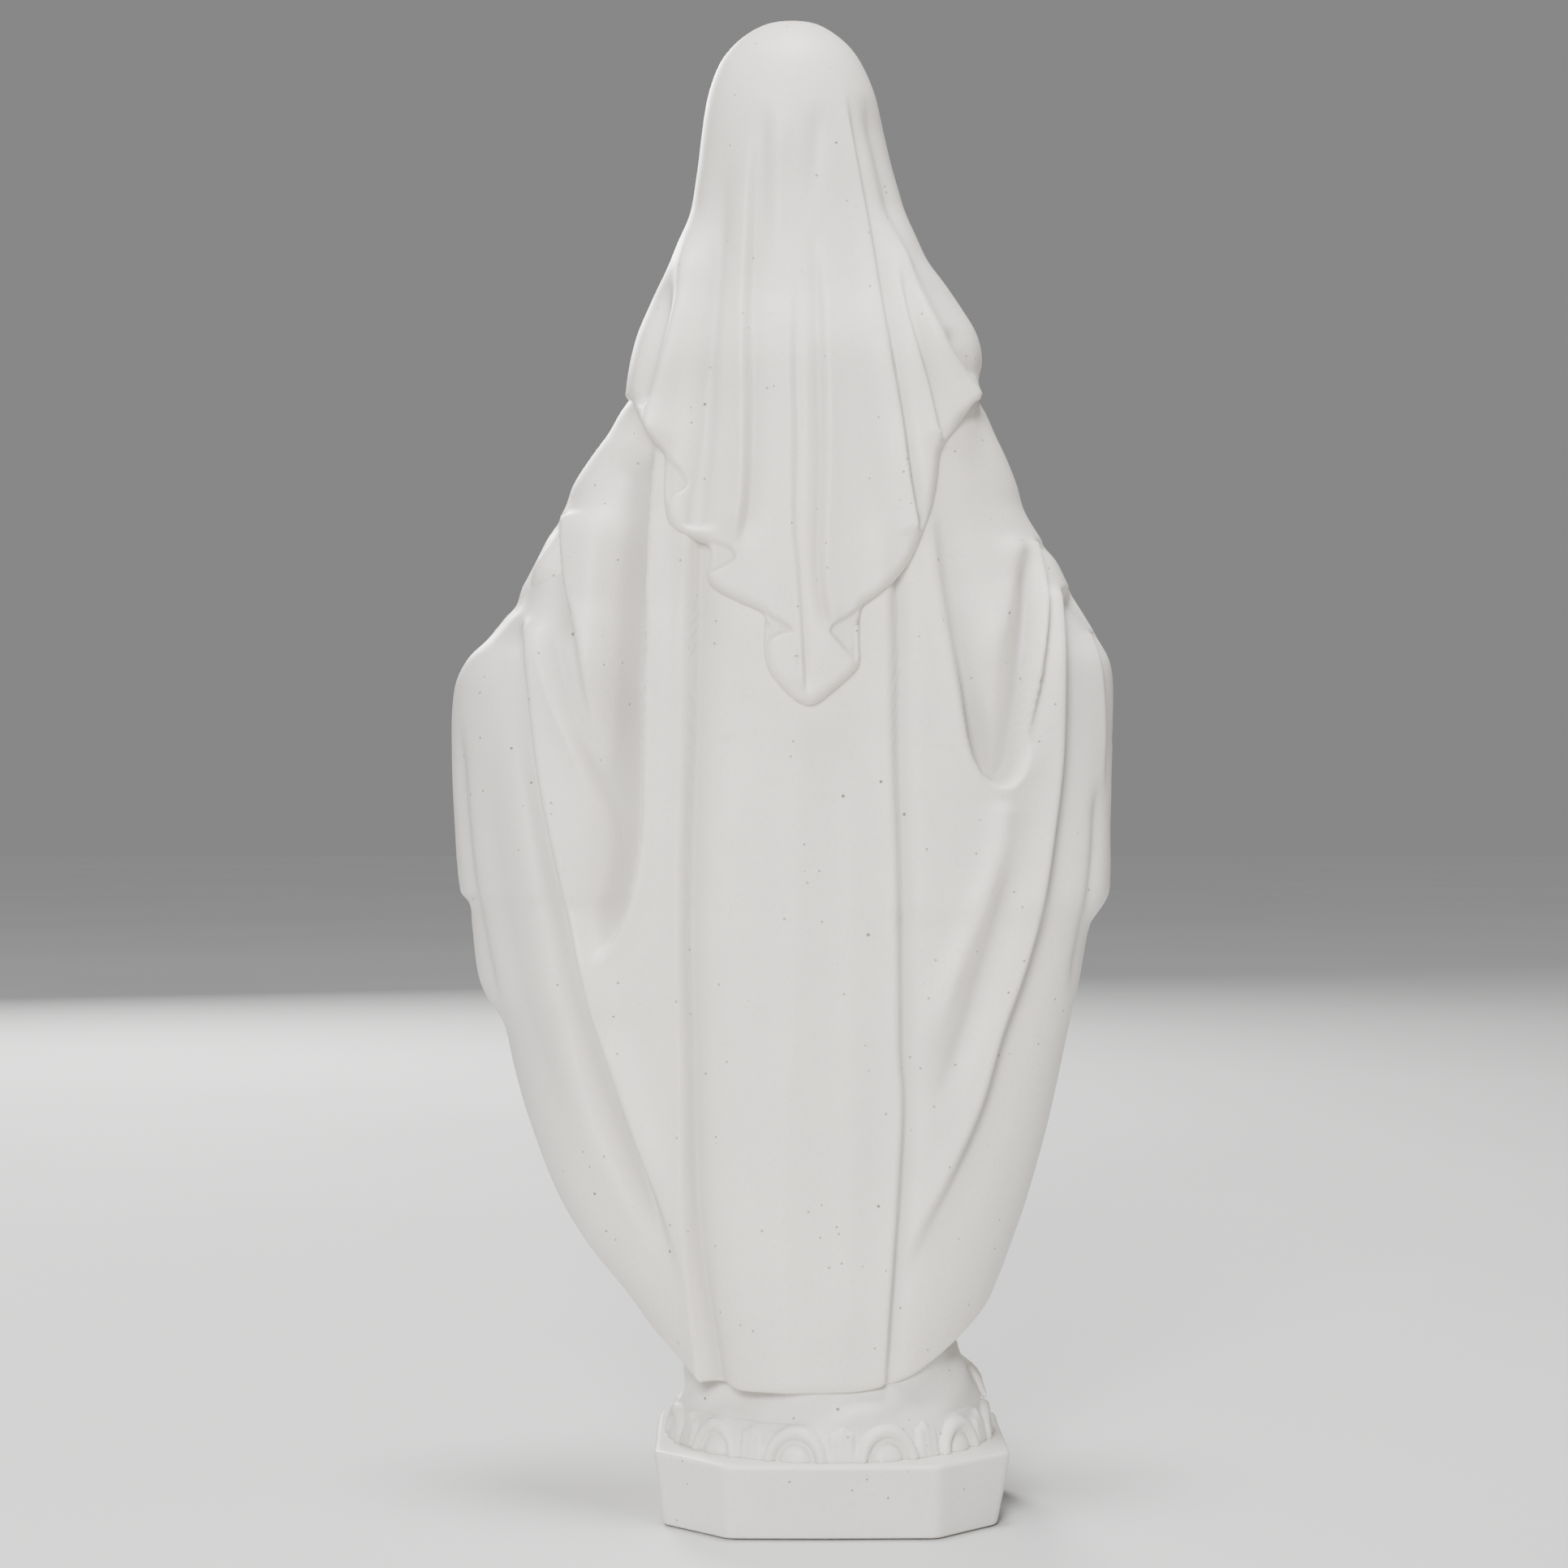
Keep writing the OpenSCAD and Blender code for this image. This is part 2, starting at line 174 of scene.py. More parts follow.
# little brown stains on the back: across, height, reach and strength
STAINS = [(-6.4, 170.2, 0.8, 0.9), (-4.7, 171.0, 0.5, 0.5), (-2.2, 167.8, 1.7, 0.3),
          (24.5, 186.5, 1.9, 0.35), (24.0, 190.5, 1.5, 0.35), (34.2, 143.0, 0.9, 0.6),
          (-20.8, 154.5, 0.8, 0.6), (-16.5, 163.5, 1.8, 0.3), (-27.5, 147.0, 0.6, 0.4),
          (3.5, 151.0, 0.8, 0.35), (-21.0, 96.0, 1.2, 0.25), (18.0, 118.0, 1.4, 0.2)]


def stained(points):
    """How brown each spot of the back is."""
    out = np.zeros(len(points))
    for across, z, reach, strength in STAINS:
        near = ((points[:, 0] + across) ** 2 + (points[:, 2] - z) ** 2) / reach ** 2
        out += strength * np.exp(-near) * (points[:, 1] > 12)
    return np.clip(out, 0, 1)


def make(node, points, faces, slot=FIGURE, depth=None):
    """A smooth mesh from points in millimetres, which stands for one node of the statue."""
    name = node + "_look"
    mesh = bpy.data.meshes.new(name)
    mesh.from_pydata((np.asarray(points) * 0.001).tolist(), [], [list(map(int, f)) for f in faces])
    mesh.validate()
    mesh.polygons.foreach_set("use_smooth", [True] * len(mesh.polygons))
    # painted shade: each point's share of the grey that the marble paints into folds, linings and hems
    layer = mesh.attributes.new("painted_shade", "FLOAT", "POINT")
    values = np.zeros(len(mesh.vertices), np.float32)
    if depth is not None:
        values[:len(depth)] = depth
    layer.data.foreach_set("value", values)
    spots = mesh.attributes.new("stain", "FLOAT", "POINT")
    spots.data.foreach_set("value", stained(np.asarray(points, float)).astype(np.float32))
    obj = bpy.data.objects.new(name, mesh)
    bpy.context.collection.objects.link(obj)
    obj.data.materials.append(LOOKS[slot])
    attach(obj, "root")
    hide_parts(node)
    return obj


def grid_faces(rows, cols, start=0, closed=False):
    r = np.arange(rows - 1)[:, None]
    c = np.arange(cols if closed else cols - 1)[None, :]
    n = (c + 1) % cols
    quads = np.stack([r * cols + c, r * cols + n, (r + 1) * cols + n, (r + 1) * cols + c], -1)
    return quads.reshape(-1, 4) + start


def across_normals(p, closed=False):
    """Outward normals of a grid of points whose rows go up and whose columns go across."""
    du = np.roll(p, -1, 1) - np.roll(p, 1, 1) if closed else np.gradient(p, axis=1)
    dv = np.gradient(p, axis=0)
    n = np.cross(du, dv)
    return n / (np.linalg.norm(n, axis=2, keepdims=True) + 1e-9)


def unit(v):
    return v / (np.linalg.norm(v, axis=-1, keepdims=True) + 1e-9)


def rolled(p, n, thick, foot=True):
    """Carries a sheet round its side edges and its foot, so that its edge is round."""
    turns = np.linspace(0.0, PI, 7)[1:]
    keep = np.ones(p.shape[1])
    inward = -n * thick
    weight = [abs(math.cos(t)) for t in turns]
    for end, beside_end in ((0, 1), (-1, -2)):
        edge = p[:, end]
        out = unit(edge - p[:, beside_end]) * thick / 2
        extra = [edge + inward[:, end] * (1 - math.cos(t)) / 2 + out * math.sin(t) for t in turns]
        dirs = [inward[:, end] * math.cos(t) for t in turns]
        if end == 0:
            p = np.concatenate([np.stack(extra[::-1], 1), p], 1)
            inward = np.concatenate([np.stack(dirs[::-1], 1), inward], 1)
            keep = np.concatenate([weight[::-1], keep])
        else:
            p = np.concatenate([p, np.stack(extra, 1)], 1)
            inward = np.concatenate([inward, np.stack(dirs, 1)], 1)
            keep = np.concatenate([keep, weight])
    if foot:
        down = unit(p[0] - p[1])
        aside = down * (thick / 2) * keep[:, None]
        rows = [p[0] + inward[0] * (1 - math.cos(t)) / 2 + aside * math.sin(t) for t in turns]
        p = np.concatenate([np.stack(rows[::-1], 0), p], 0)
    return p


def lowest(v, reach):
    """The least of the values around each spot of a grid."""
    for axis in (0, 1):
        v = np.min([np.roll(np.pad(v, reach, mode="edge"), k, axis)[reach:-reach, reach:-reach]
                    for k in range(-reach, reach + 1)], axis=0)
    return v


def softened(v, reach):
    """A grid of values, blurred."""
    weight = np.exp(-(np.arange(-2 * reach, 2 * reach + 1) / reach) ** 2)
    weight /= weight.sum()

    def blur(line):
        return np.convolve(np.pad(line, 2 * reach, mode="edge"), weight, "valid")

    for axis in (0, 1):
        v = np.apply_along_axis(blur, axis, v)
    return v


def fold_shade(lift):
    """1 in a deep fold, 0 on open cloth: how much painted shade the fold gets."""
    return np.clip((softened(lift, 9) - lift) / 2.2, 0, 1)


def cloth(node, p, thick, painted_shade, foot=True, lining=3, keep=None, inner=None):
    """A sheet with round edges, and a lining with one point for every few of the sheet's."""
    n = across_normals(p)
    outer = rolled(p, n, thick, foot)
    rows, cols = outer.shape[:2]
    extra_rows = rows - p.shape[0]
    extra_cols = (cols - p.shape[1]) // 2
    faces = grid_faces(rows, cols)
    depth = np.zeros((rows, cols), np.float32)
    depth[extra_rows:, extra_cols:cols - extra_cols] = painted_shade
    points = outer.reshape(-1, 3)
    back = (p - n * thick if inner is None else inner)[::lining, ::lining]
    more = grid_faces(back.shape[0], back.shape[1], len(points))[:, ::-1]
    if keep is not None:
        mask = np.zeros((rows, cols), bool)
        mask[extra_rows:, extra_cols:cols - extra_cols] = keep
        mask[extra_rows:, :extra_cols] = keep[:, :1]
        mask[extra_rows:, cols - extra_cols:] = keep[:, -1:]
        faces = faces[mask.ravel()[faces].any(axis=1)]
        lined = np.concatenate([np.zeros(len(points), bool), keep[::lining, ::lining].ravel()])
        more = more[lined[more].all(axis=1)]
    points = np.concatenate([points, back.reshape(-1, 3)])
    # painted shade: the lining is darkened at half strength all over
    depth = np.concatenate([depth.ravel(), np.full(back.shape[0] * back.shape[1], 0.5, np.float32)])
    faces = np.concatenate([faces, more])
    used = np.unique(faces)
    order = np.full(len(points), -1)
    order[used] = np.arange(len(used))
    return make(node, points[used], order[faces], depth=depth[used])


# ---------------------------------------------------------------- sculpting in the round

def ball(p, at, r):
    return np.sqrt((p[0] - at[0]) ** 2 + (p[1] - at[1]) ** 2 + (p[2] - at[2]) ** 2) - r


def egg(p, at, r):
    k = np.sqrt(((p[0] - at[0]) / r[0]) ** 2 + ((p[1] - at[1]) / r[1]) ** 2 + ((p[2] - at[2]) / r[2]) ** 2)
    return (k - 1.0) * min(r)


def limb(p, a, b, ra, rb):
    """A round bar from a to b, with its radius at either end."""
    a, b = np.array(a, float), np.array(b, float)
    d = b - a
    t = np.clip(((p[0] - a[0]) * d[0] + (p[1] - a[1]) * d[1] + (p[2] - a[2]) * d[2]) / (d @ d), 0.0, 1.0)
    return ball([p[i] - t * d[i] for i in range(3)], a, 0.0) - mix(ra, rb, t)


def strand(p, points, radii, k=0.0):
    """Bars end to end."""
    out = None
    for i in range(len(points) - 1):
        piece = limb(p, points[i], points[i + 1], radii[i], radii[i + 1])
        out = piece if out is None else meld(out, piece, k) if k else np.minimum(out, piece)
    return out


def meld(a, b, k):
    """Joins two shapes with a fillet of about k."""
    h = np.clip(0.5 + 0.5 * (b - a) / k, 0.0, 1.0)
    return mix(b, a, h) - k * h * (1.0 - h)


def cut(a, b, k):
    """Takes shape b out of shape a, rounding the rim."""
    return -meld(-a, b, k)


def sculpt(node, low, high, step, shape, slot=FIGURE, relax=1):
    """Turns a field of distances, read on a grid from low to high, into a smooth mesh."""
    axes = [np.arange(lo, hi + step, step, dtype=np.float32) for lo, hi in zip(low, high)]
    field = np.clip(shape(np.meshgrid(*axes, indexing="ij")), -3 * step, 3 * step).astype(np.float32)
    grid = openvdb.FloatGrid(3 * step)
    grid.copyFromArray(field)
    points, tris, quads = grid.convertToPolygons(isovalue=0.0, adaptivity=0.0)
    points = np.array(points) * step + np.array(low)
    faces = [list(f)[::-1] for f in quads] + [list(f)[::-1] for f in tris]
    q = points[np.array(quads)]
    swept = np.einsum("ij,ij->i", q[:, 0], np.cross(q[:, 1] - q[:, 0], q[:, 2] - q[:, 0])).sum()
    if swept > 0:
        faces = [f[::-1] for f in faces]
    even = make(node, points, faces, slot).modifiers.new("even", "SMOOTH")
    even.factor = 0.5
    even.iterations = relax


# ---------------------------------------------------------------- materials

class Wire:
    """One value in a material, so that its maths reads as maths."""

    def __init__(self, book, socket):
        self.book = book
        self.socket = socket

    def maths(self, operation, *others):
        return self.book.node("ShaderNodeMath", dict(operation=operation), [self, *others])

    def __add__(self, other):
        return self.maths("ADD", other)

    def __sub__(self, other):
        return self.maths("SUBTRACT", other)

    def __mul__(self, other):
        return self.maths("MULTIPLY", other)

    def __rsub__(self, other):
        return self.book.node("ShaderNodeMath", dict(operation="SUBTRACT"), [other, self])

    __radd__ = __add__
    __rmul__ = __mul__

    def above(self, low, high):
        """0 below low, 1 above high."""
        settings = dict(interpolation_type="SMOOTHSTEP")
        values = {"Value": self, "From Min": low, "From Max": high}
        return self.book.node("ShaderNodeMapRange", settings, values)

    def below(self, low, high):
        return 1.0 - self.above(low, high)


class Book:
    """A material being written."""

    def __init__(self, name):
        self.material = bpy.data.materials.new(name)
        self.material.use_nodes = True
        self.tree = self.material.node_tree
        self.skin = self.tree.nodes["Principled BSDF"]

    def node(self, kind, settings=None, values=None, out=0):
        made = self.tree.nodes.new(kind)
        for key, value in (settings or {}).items():
            setattr(made, key, value)
        pairs = values.items() if isinstance(values, dict) else enumerate(values or [])
        for key, value in pairs:
            if isinstance(value, Wire):
                self.tree.links.new(value.socket, made.inputs[key])
            else:
                made.inputs[key].default_value = value
        return Wire(self, made.outputs[out])

    def place(self):
        return self.node("ShaderNodeTexCoord", out="Object")

    def noise(self, scale, detail=3.0, rough=0.55, warp=0.0, at=None):
        values = {"Vector": at or self.place(), "Scale": scale, "Detail": detail, "Roughness": rough,
                  "Distortion": warp}
        return self.node("ShaderNodeTexNoise", {}, values)

    def cells(self, scale, out="Distance"):
        return self.node("ShaderNodeTexVoronoi", {}, {"Vector": self.place(), "Scale": scale}, out)

    def tint(self, a, b, amount):
        """From colour a to colour b."""
        return self.node("ShaderNodeMix", dict(data_type="RGBA"), {0: amount, 6: a, 7: b}, 2)

    def set(self, name, value):
        if isinstance(value, Wire):
            self.tree.links.new(value.socket, self.skin.inputs[name])
        else:
            self.skin.inputs[name].default_value = value

    def bumps(self, height, distance, strength=1.0, under=None):
        values = {"Height": height, "Distance": distance, "Strength": strength}
        if under is not None:
            values["Normal"] = under
        return self.node("ShaderNodeBump", {}, values)


def marble(name, light, shade, wear=1.0):
    """Marble powder in resin: off-white, mottled, with pinholes, hair scratches, a little brown staining, and
    painted shade in folds and on linings.
    """
    b = Book(name)
    cloud = b.noise(42.0, 3.0, 0.6, 0.4).above(0.36, 0.68)
    drift = b.noise(13.0, 2.0, 0.5, 0.3).above(0.40, 0.66)
    colour = b.tint(light, shade, cloud * 0.38 + drift * 0.30)
    # painted shade: a grey mixed in where the mesh marks it, darkening folds, linings, hems and the sides of
    # the back
    painted_shade = b.node("ShaderNodeAttribute", dict(attribute_name="painted_shade"), out="Fac")
    colour = b.tint(colour, (0.42, 0.415, 0.41, 1), painted_shade * 0.50)
    spots = b.node("ShaderNodeAttribute", dict(attribute_name="stain"), out="Fac")
    broken = spots * b.noise(1300.0, 3.0, 0.6).above(0.38, 0.62)
    colour = b.tint(colour, (0.46, 0.36, 0.24, 1), broken * 0.75)
    stain = b.noise(30.0, 5.0, 0.62, 0.8).above(0.62, 0.74) * b.noise(9.0).above(0.50, 0.62)
    colour = b.tint(colour, (0.58, 0.50, 0.40, 1), stain * (0.30 * wear))
    # a bubble in about half of the large cells and in four of ten small ones
    chosen = b.node("ShaderNodeSeparateColor", {}, [b.cells(150.0, "Color")], "Red")
    bubble = b.cells(150.0).below(0.032, 0.058) * chosen.above(0.50, 0.51)
    picked = b.node("ShaderNodeSeparateColor", {}, [b.cells(340.0, "Color")], "Green")
    pinhole = b.cells(340.0).below(0.05, 0.10) * picked.above(0.60, 0.61)
    holes = bubble + pinhole * 0.7
    colour = b.tint(colour, (0.17, 0.155, 0.14, 1), holes * 0.9)
    grit = b.noise(1100.0, 2.0, 0.7)
    colour = b.tint(colour, (0.55, 0.53, 0.50, 1), grit.above(0.50, 0.74) * 0.24)
    b.set("Base Color", colour)
    b.set("Roughness", b.noise(60.0, 3.0).above(0.3, 0.7) * 0.10 + 0.44 + holes * 0.3)
    b.set("IOR", 1.5)
    b.set("Specular IOR Level", 0.42)
    b.set("Subsurface Weight", 0.12)
    b.set("Subsurface Radius", (1.0, 0.9, 0.8))
    b.set("Subsurface Scale", 0.0016)
    stretch = b.node("ShaderNodeMapping", dict(vector_type="POINT"),
                     {"Vector": b.place(), "Rotation": (0.3, 0.7, 0.9), "Scale": (1.0, 1.0, 0.035)})
    hairs = b.noise(900.0, 1.0, 0.5, 0.0, stretch).above(0.70, 0.78) * b.noise(20.0).above(0.52, 0.66)
    grain = b.noise(1500.0, 2.0, 0.6) * 0.35 + b.noise(260.0, 3.0, 0.55) * 0.65
    waves = b.bumps(b.noise(70.0, 2.0, 0.5), 0.0006, 0.30)
    rough = b.bumps(grain, 0.00012, 0.5, waves)
    b.set("Normal", b.bumps(1.0 - holes - hairs * 0.12, 0.0005, 0.8, rough))
    return b.material


def felt(name):
    b = Book(name)
    fibre = b.noise(1400.0, 4.0, 0.7)
    colour = b.tint((0.10, 0.055, 0.03, 1), (0.20, 0.12, 0.07, 1), fibre.above(0.35, 0.7))
    b.set("Base Color", colour)
    b.set("Roughness", 0.95)
    b.set("Sheen Weight", 0.3)
    b.set("Normal", b.bumps(fibre, 0.0003, 0.7))
    return b.material


def zinc(name):
    b = Book(name)
    spangle = b.noise(300.0, 3.0, 0.5)
    b.set("Base Color", b.tint((0.46, 0.47, 0.48, 1), (0.66, 0.66, 0.65, 1), spangle.above(0.35, 0.65)))
    b.set("Metallic", 1.0)
    b.set("Roughness", spangle.above(0.3, 0.7) * 0.15 + 0.32)
    b.set("Normal", b.bumps(spangle, 0.0001, 0.4))
    return b.material


LOOKS = {
    FIGURE: marble("marble figure", (0.815, 0.765, 0.705, 1), (0.735, 0.698, 0.655, 1)),
    BASE: marble("marble base", (0.765, 0.735, 0.695, 1), (0.675, 0.655, 0.625, 1), 1.4),
    "felt": felt("felt"),
    "steel": zinc("zinc"),
}


# ---------------------------------------------------------------- the mantle

mantle_left = profile((24, -30.0), (33, -33.5), (43, -40.4), (53, -48.8), (63, -55.0), (78, -61.0),
                      (88, -64.0), (97.5, -66.4), (102, -69.4), (107, -71.4), (117, -72.8),
                      (121.4, -73.4), (124, -75.1), (138, -76.4), (152, -77.0), (165, -76.4),
                      (171, -73.8), (176, -68.8), (181, -63.4), (186, -61.0), (191, -59.1), (196, -56.9),
                      (201, -53.5), (206, -51.7), (211, -48.6), (216, -44.9), (221, -42.0), (226, -38.0),
                      (232, -32.0), (240, -24.0), (247, -17.0))
mantle_right = profile((24, 25.0), (33, 27.3), (43, 32.5), (53, 36.7), (63, 40.3), (78, 44.6),
                       (98, 49.1), (107, 51.3), (117.5, 53.5), (121.5, 56.1), (124.5, 57.2), (138, 57.5),
                       (152, 58.1), (165, 58.4), (171, 57.6), (176, 54.9), (181, 51.8), (186, 48.6),
                       (191, 46.1), (196, 42.5), (201, 39.5), (206, 38.0), (211, 36.0), (216, 33.6),
                       (221, 31.3), (226, 28.0), (232, 23.0), (240, 14.0), (247, 7.0))
mantle_back = profile((24, 31.0), (40, 30.2), (60, 28.5), (100, 26.3), (140, 24.8), (175, 24.6),
                      (210, 24.0), (225, 22.6), (236, 19.5), (247, 14.0))
mantle_side = profile((24, 5.0), (60, -2.0), (120, -5.5), (165, -7.0), (190, -4.0), (215, -1.0), (247, 0.0))
mantle_front = profile((24, 0.0), (60, -7.0), (110, -10.0), (140, -13.0), (155, -21.0), (175, -24.0),
                       (195, -21.5), (215, -19.0), (232, -15.0), (247, -10.0))
mantle_open = profile((24, 0.985), (135, 0.98), (146, 0.965), (153, 0.92), (160, 0.84), (170, 0.68),
                      (185, 0.50), (200, 0.40), (215, 0.34), (232, 0.36), (247, 0.50))


def mantle_form(turn, z):
    """A spot of the mantle before its folds: turn 0 is the middle of the back."""
    left, right = mantle_left(z), mantle_right(z)
    c = np.cos(turn)
    across = (left + right) / 2 + (right - left) / 2 * np.sin(turn)
    y = mantle_side(z) + np.where(c > 0, (mantle_back(z) - mantle_side(z)) * np.maximum(c, 0) ** 0.86,
                                  (mantle_side(z) - mantle_front(z)) * c)
    return across, y


def mantle_skin(across, z, front=False):
    """How far back (or forward) the mantle stands at a spot."""
    left, right = mantle_left(z), mantle_right(z)
    s = np.clip((across - (left + right) / 2) / ((right - left) / 2), -1.0, 1.0)
    c = np.sqrt(1.0 - s * s)
    if front:
        return mantle_side(z) - (mantle_side(z) - mantle_front(z)) * c
    return mantle_side(z) + (mantle_back(z) - mantle_side(z)) * c ** 0.86


BACK_FOLDS = [
    # the two long channels either side of the back panel
    fold([(-26.6, 205), (-27.3, 184), (-27.9, 152), (-28.7, 120), (-28.2, 92), (-27.4, 60), (-24.2, 29),
          (-23.2, 18)], (1.1, 3.4), (-2.3, 4.2), 0.9, (0.02, 0.02), (1, 1, 1, 1.1, 1.2)),
    fold([(11.0, 200), (12.1, 184), (12.4, 152), (13.2, 130), (13.6, 93), (14.2, 84), (13.2, 65),
          (11.5, 42), (10.8, 29), (10.6, 16)], (1.0, 3.2), (-2.1, 2.7), 0.8, (0.05, 0.12),
         (0.9, 1, 1, 0.9, 1.0, 0.6)),
    # the left swag: its sharp right rim, its long left rim, and the pleats between
    fold([(-35.2, 214), (-36.2, 200), (-36.9, 182), (-37.6, 152), (-38.3, 132), (-42.0, 117),
          (-47.4, 109.5)], (-7.0, 6.2), (1.6, 4.2), 0.9, (0.08, 0.12), (0.7, 1, 1.1, 1, 0.8)),
    fold([(-61.8, 180), (-60.0, 163), (-57.9, 147), (-54.6, 131), (-50.8, 115), (-46.5, 98), (-42.2, 85),
          (-37.9, 73), (-32.5, 59), (-27.5, 45)], (-3.3, 5.6), (2.0, 4.6), 1.1, (0.04, 0.22),
         (0.8, 1, 1.1, 1, 0.8)),
    fold([(-53.0, 200), (-52.0, 186), (-50.0, 173), (-48.4, 163), (-47.6, 155)],
         (-2.8, 3.2), (1.8, 5.0), 0.8, (0.06, 0.3)),
    fold([(-57.5, 180), (-54.0, 164), (-49.2, 152), (-45.0, 141), (-43.0, 132)],
         (0.8, 3.0), (-1.8, 3.2), 1.0, (0.2, 0.35)),
    ridge([(-44.5, 205), (-45.5, 185), (-45.0, 165), (-45.4, 148)], 1.9, 4.5, (0.2, 0.4)),
    # the outer cloth on the left, and the turned rim beside it
    ridge([(-74.6, 160), (-74.4, 146), (-72.6, 128), (-69.6, 112), (-65.6, 98)], -0.9, 1.3, (0.2, 0.2)),
    ridge([(54.9, 148), (54.0, 132), (51.6, 116), (48.4, 102)], -0.9, 1.2, (0.2, 0.2)),
    ridge([(-66.0, 172), (-62.5, 150), (-57.5, 122), (-52.2, 99), (-47.6, 80), (-40.2, 64), (-31.4, 48)],
          1.2, 3.6, (0.25, 0.15)),
    ridge([(-57.0, 122), (-53.0, 108), (-48.7, 96), (-42.2, 80), (-35.7, 66), (-30.0, 51)], -0.9, 2.4,
          (0.3, 0.2)),
    ridge([(-70.0, 160), (-67.0, 132), (-61.5, 104), (-55.0, 84), (-47.0, 66)], -0.8, 4.0, (0.3, 0.3)),
    # the right swag and its rim
    fold([(20.0, 203), (21.4, 190), (23.2, 178), (25.7, 165), (27.9, 154), (30.6, 147.8), (34.3, 145.9),
          (37.0, 148.6), (38.4, 156), (39.8, 168), (40.8, 181), (40.4, 195)],
         (1.2, 3.2), (-3.7, 5.0), 1.0, (0.12, 0.08), (0.25, 0.5, 0.9, 1.25, 1.0, 0.8, 0.55)),
    ridge([(37.0, 196), (36.0, 186), (33.5, 174), (31.5, 166)], 1.5, 3.0, (0.15, 0.4)),
    # the stepped pleats outside it
    fold([(41.6, 195), (42.9, 183), (42.0, 171), (40.0, 160), (37.4, 149), (36.0, 143)],
         (0.9, 2.0), (-1.7, 2.2), 0.7, (0.03, 0.3)),
    fold([(46.8, 186), (47.3, 174), (46.9, 152), (45.0, 136), (42.5, 121), (39.1, 109), (34.3, 96),
          (30.0, 82), (22.4, 66), (15.9, 54), (12.8, 42)], (1.4, 3.8), (-2.5, 6.4), 1.3, (0.02, 0.25),
         (1, 1, 0.9, 0.7)),
    fold([(54.0, 177), (55.8, 168), (56.4, 156), (56.0, 142)], (0.6, 1.5), (-1.2, 2.0), 0.5, (0.02, 0.5)),
    ridge([(34.6, 144), (32.8, 131), (29.0, 120), (23.7, 107), (19.0, 92)], 1.3, 2.9, (0.08, 0.25)),
    ridge([(36.6, 134), (34.0, 121), (30.0, 108), (25.4, 94), (18.8, 79)], -1.5, 2.9, (0.2, 0.3)),
    # the soft middle of the back
    ridge([(-6.2, 162), (-6.7, 131), (-7.8, 93), (-8.9, 81), (-8.9, 16)], 0.8, 4.5, (0.05, 0.02)),
    ridge([(-20.0, 158), (-19.5, 120), (-19.0, 80), (-18.0, 34)], 0.5, 5.0, (0.2, 0.1)),
    ridge([(4.0, 158), (4.5, 120), (4.0, 80), (3.0, 34)], 0.5, 4.5, (0.2, 0.1)),
]


def both(points):
    """The same line on the figure's other side."""
    middle = -8.5
    return [(2 * middle - a, z) for a, z in points]


FRONT_FOLDS = []
for line, out, back in (
        ([(-24, 224), (-34, 205), (-46, 187), (-58, 172)], (1.6, 3.4), (-1.4, 3.0)),
        ([(-20, 212), (-28, 194), (-42, 176), (-56, 163)], (1.5, 3.2), (-1.6, 3.0)),
        ([(-32, 222), (-44, 204), (-56, 188), (-67, 173)], (1.5, 3.4), (-1.5, 3.2)),
        ([(-38, 214), (-50, 198), (-62, 182), (-72, 166)], (1.2, 3.0), (-1.3, 3.0)),
        ([(-17, 226), (-19, 210), (-25, 194), (-36, 180)], (1.2, 2.2), (-1.2, 2.4))):
    FRONT_FOLDS.append(fold(line, out, back, 0.9, (0.2, 0.25)))
    FRONT_FOLDS.append(fold(both(line), back, out, 0.9, (0.2, 0.25)))


def back_relief(across, z):
    out = 1.3 * relief(BACK_FOLDS, across, z)
    out += bump(across, z, (-46, 190), (7, 15), 1.5)
    out += bump(across, z, (-41, 150), (5.5, 30), -1.6)
    out += bump(across, z, (31.5, 154), (4.0, 8), -2.2)
    out += bump(across, z, (-50, 108), (6, 10), 0.8)
    return out


MANTLE_THICK = 3.0


def build_mantle():
    rows, cols = 298, 284
    turn = np.linspace(-1.0, 1.0, cols)
    rise = np.linspace(0.0, 1.0, rows)[:, None]
    top = 247.0
    # the hem is a shallow bowl: low behind, rising to the sides
    foot = 29.3 + 13.5 * smooth(0.30, 1.0, np.abs(turn)) ** 1.3
    foot = foot + np.where(turn > 0, 2.9, -1.0) * smooth(0.10, 0.6, np.abs(turn))
    z = foot[None, :] + (top - foot[None, :]) * rise
    end = PI - np.arcsin(np.clip(mantle_open(z), 0, 1))
    a = turn[None, :] * end
    across, y = mantle_form(a, z)
    # the collar closes round the neck
    closed = smooth(237, top, z)
    across = (across + 5.0) * (1.0 - 0.17 * closed) - 5.0
    y = y * (1.0 - 0.26 * closed)
    p = np.stack([-across, y, z], -1)
    n = across_normals(p)
    behind = smooth(-0.12, 0.12, np.cos(a))
    lift = back_relief(across, z) * behind + relief(FRONT_FOLDS, across, z) * (1 - behind)
    lift *= smooth(0.0, 0.02, 1 - np.abs(turn))[None, :] * 0.7 + 0.3
    inner = p + n * (softened(lowest(lift, 13), 6) - MANTLE_THICK)[..., None]
    p = p + n * lift[..., None]
    # painted shade: darker in deep folds, wherever the cloth sinks, and towards both outer sides of the back
    # (most on the left)
    side_shade = 0.72 * smooth(-46, -66, across) + 0.30 * smooth(44, 56, across)
    painted_shade = np.clip(fold_shade(lift) + side_shade * behind + np.clip(-lift / 14.0, 0, 0.5), 0, 1)
    cloth("mantle", p, MANTLE_THICK, painted_shade, inner=inner)


# ---------------------------------------------------------------- the veil

